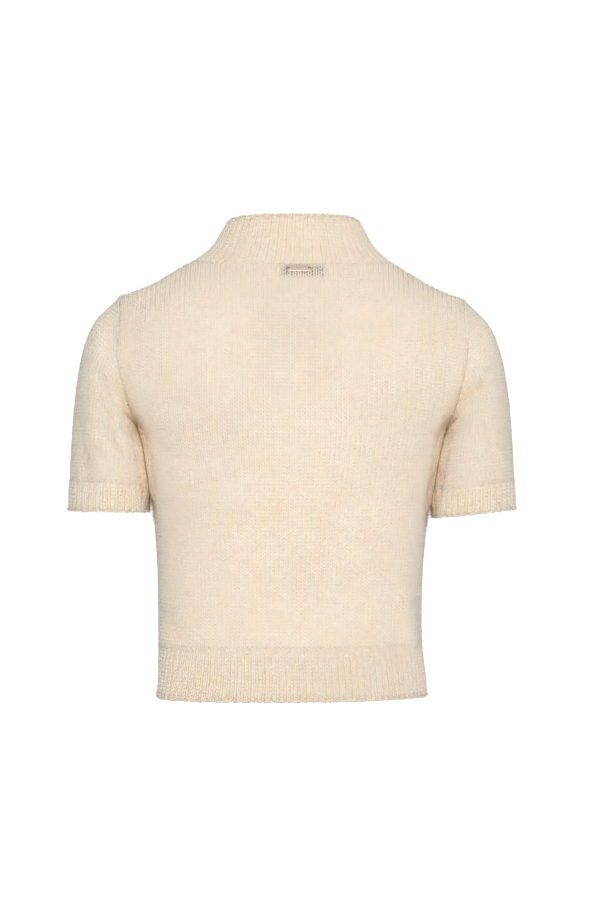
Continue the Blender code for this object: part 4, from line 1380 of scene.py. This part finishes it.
def plate_threads(thread):
    """Two turns of thread out of each sewing hole and over the end of the plate."""
    mesh = bmesh.new()
    for end, hole in zip((-1, 1), plate_holes()):
        for slip in THREAD_SLIPS:
            curve = bpy.data.curves.new("plate_thread", "CURVE")
            curve.dimensions = "3D"
            curve.bevel_depth = THREAD_RADIUS * MM
            curve.bevel_resolution = 2
            curve.use_fill_caps = True
            spline = curve.splines.new("BEZIER")
            spline.bezier_points.add(len(THREAD_PATH) - 1)
            for knot, (out, height) in zip(spline.bezier_points, THREAD_PATH):
                knot.co = on_back(hole + end * out, PLATE_CENTRE[1] + slip, height)
                knot.handle_left_type = knot.handle_right_type = "AUTO"
            mesh.from_mesh(baked(add_object("plate_thread", curve)))
    threads = built("plate_threads", mesh)
    face_out(threads.data)
    threads.data.materials.append(thread)
    return threads


# Stage


def add_lamp(name, place, power):
    """A soft box that faces the middle of the garment."""
    light = bpy.data.lights.new(name, "AREA")
    light.size = SOFT_BOX_SIZE * MM
    light.energy = power
    light.color = to_linear("#FFF8F0")[:3]
    lamp = add_object(name, light)
    lamp.location = Vector(place) * MM
    lamp.rotation_euler = (Vector(GARMENT_MIDDLE) - Vector(place)).to_track_quat("-Z", "Y").to_euler()


def add_camera():
    camera = add_object("camera", bpy.data.cameras.new("camera"))
    camera.data.lens, camera.data.sensor_width = LENS, SENSOR
    camera.location = Vector(CAMERA_PLACE) * MM
    camera.rotation_euler = (math.radians(90), 0.0, 0.0)
    bpy.context.scene.camera = camera


def add_stage():
    """A white floor below the hem and soft white light from all round."""
    ends = ((-1, -1), (1, -1), (1, 1), (-1, 1))
    corners = [(x * FLOOR_REACH, y * FLOOR_REACH, FLOOR_HEIGHT) for x, y in ends]
    floor = add_mesh("studio_floor", corners, [(0, 1, 2, 3)])
    add_object("studio_floor", floor, studio_white())

    world = bpy.data.worlds.new("soft_white")
    world.use_nodes = True
    tree = world.node_tree
    around = tree.nodes["Background"]
    fill(around, to_linear("#FFFFFF"), ROOM_LIGHT)
    behind = add_node(tree, "ShaderNodeBackground", to_linear("#FFFFFF"), BACKDROP)
    seen = add_node(tree, "ShaderNodeLightPath")
    fill(tree.nodes["World Output"], add_node(tree, "ShaderNodeMixShader", seen, around.outputs[0], behind))
    bpy.context.scene.world = world

    for name, (place, power) in SOFT_BOXES.items():
        add_lamp(name, place, power)
    bpy.context.scene.view_settings.view_transform = "Standard"


def dress(cloths):
    """Makes the cloth, stitches, seams and nap of every knitted piece."""
    ground = wool_yarn("brushed_wool_ground", *GROUND_COLOURS, is_ground=True)
    yarn = wool_yarn("brushed_wool_yarn", *YARN_COLOURS, groove_shade=GROOVE_SHADE_COLOUR)
    loose = wool_yarn("loose_wool_fibre", *NAP_COLOURS)
    stitch_legs, links = yarn_tree("stitch_legs", (LEFT, RIGHT)), yarn_tree("links", (0,))
    fibres = nap_tree()
    chains = seam_chains(cloths)

    lines = {}
    for name, face in (("back_panel", BACK), ("front_panel", FRONT)):
        wales = up_lines(*on_form(wale_lines(face), cloths[name], -face), False, WALE)
        kept = np.abs(wales.places[:, 0]) < armhole_x(wales.places[:, 2], face) - SHORT_OF_ARMHOLE
        kept = kept | (wales.places[:, 2] < ARMPIT[1])
        lines[name] = joined([picked(wales, kept), seam_stitches(name, cloths[name])])
    for name, side in (("sleeve_left", LEFT), ("sleeve_right", RIGHT)):
        lines[name] = up_lines(*on_form(sleeve_lines(side), cloths[name], side), True, WALE)

    for seed, (name, cloth) in enumerate(cloths.items()):
        base = base_cloth(name, cloth, ground)
        if cloth.ribs:
            on_it = [rib_stitches(stitch_legs, name, cloth, yarn)]
        else:
            on_it = stocking_stitch(stitch_legs, name, lines[name], 2 if "panel" in name else 1, yarn)
        if name in chains:
            sizes = {"leg_length": LINK_LENGTH * MM, "unevenness": LINK_UNEVENNESS}
            sizes.update({"leg_width": LINK_WIDTH * MM, "leg_thickness": LINK_WIDTH * MM})
            on_it.append(knit(links, f"{name}_seams", chains[name], yarn, **sizes))
        on_it.append(nap_on(fibres, name, cloth, seed, loose))
        for piece in (base, *on_it):
            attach(piece, "root")
        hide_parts(name)
        flat, area = cut_size(cloth)
        hangs_from(name)


def add_trim():
    """The name plate, its threads and the neck label."""
    plate, threads = name_plate(brushed_steel()), plate_threads(sewing_thread())
    for piece in (plate, threads):
        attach(piece, "root")
    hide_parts("name_plate")
    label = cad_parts["neck_label"].data
    label.materials.clear()
    label.materials.append(woven_label())


def main():
    add_camera()
    dress(make_cloths())
    add_trim()
    add_stage()


main()
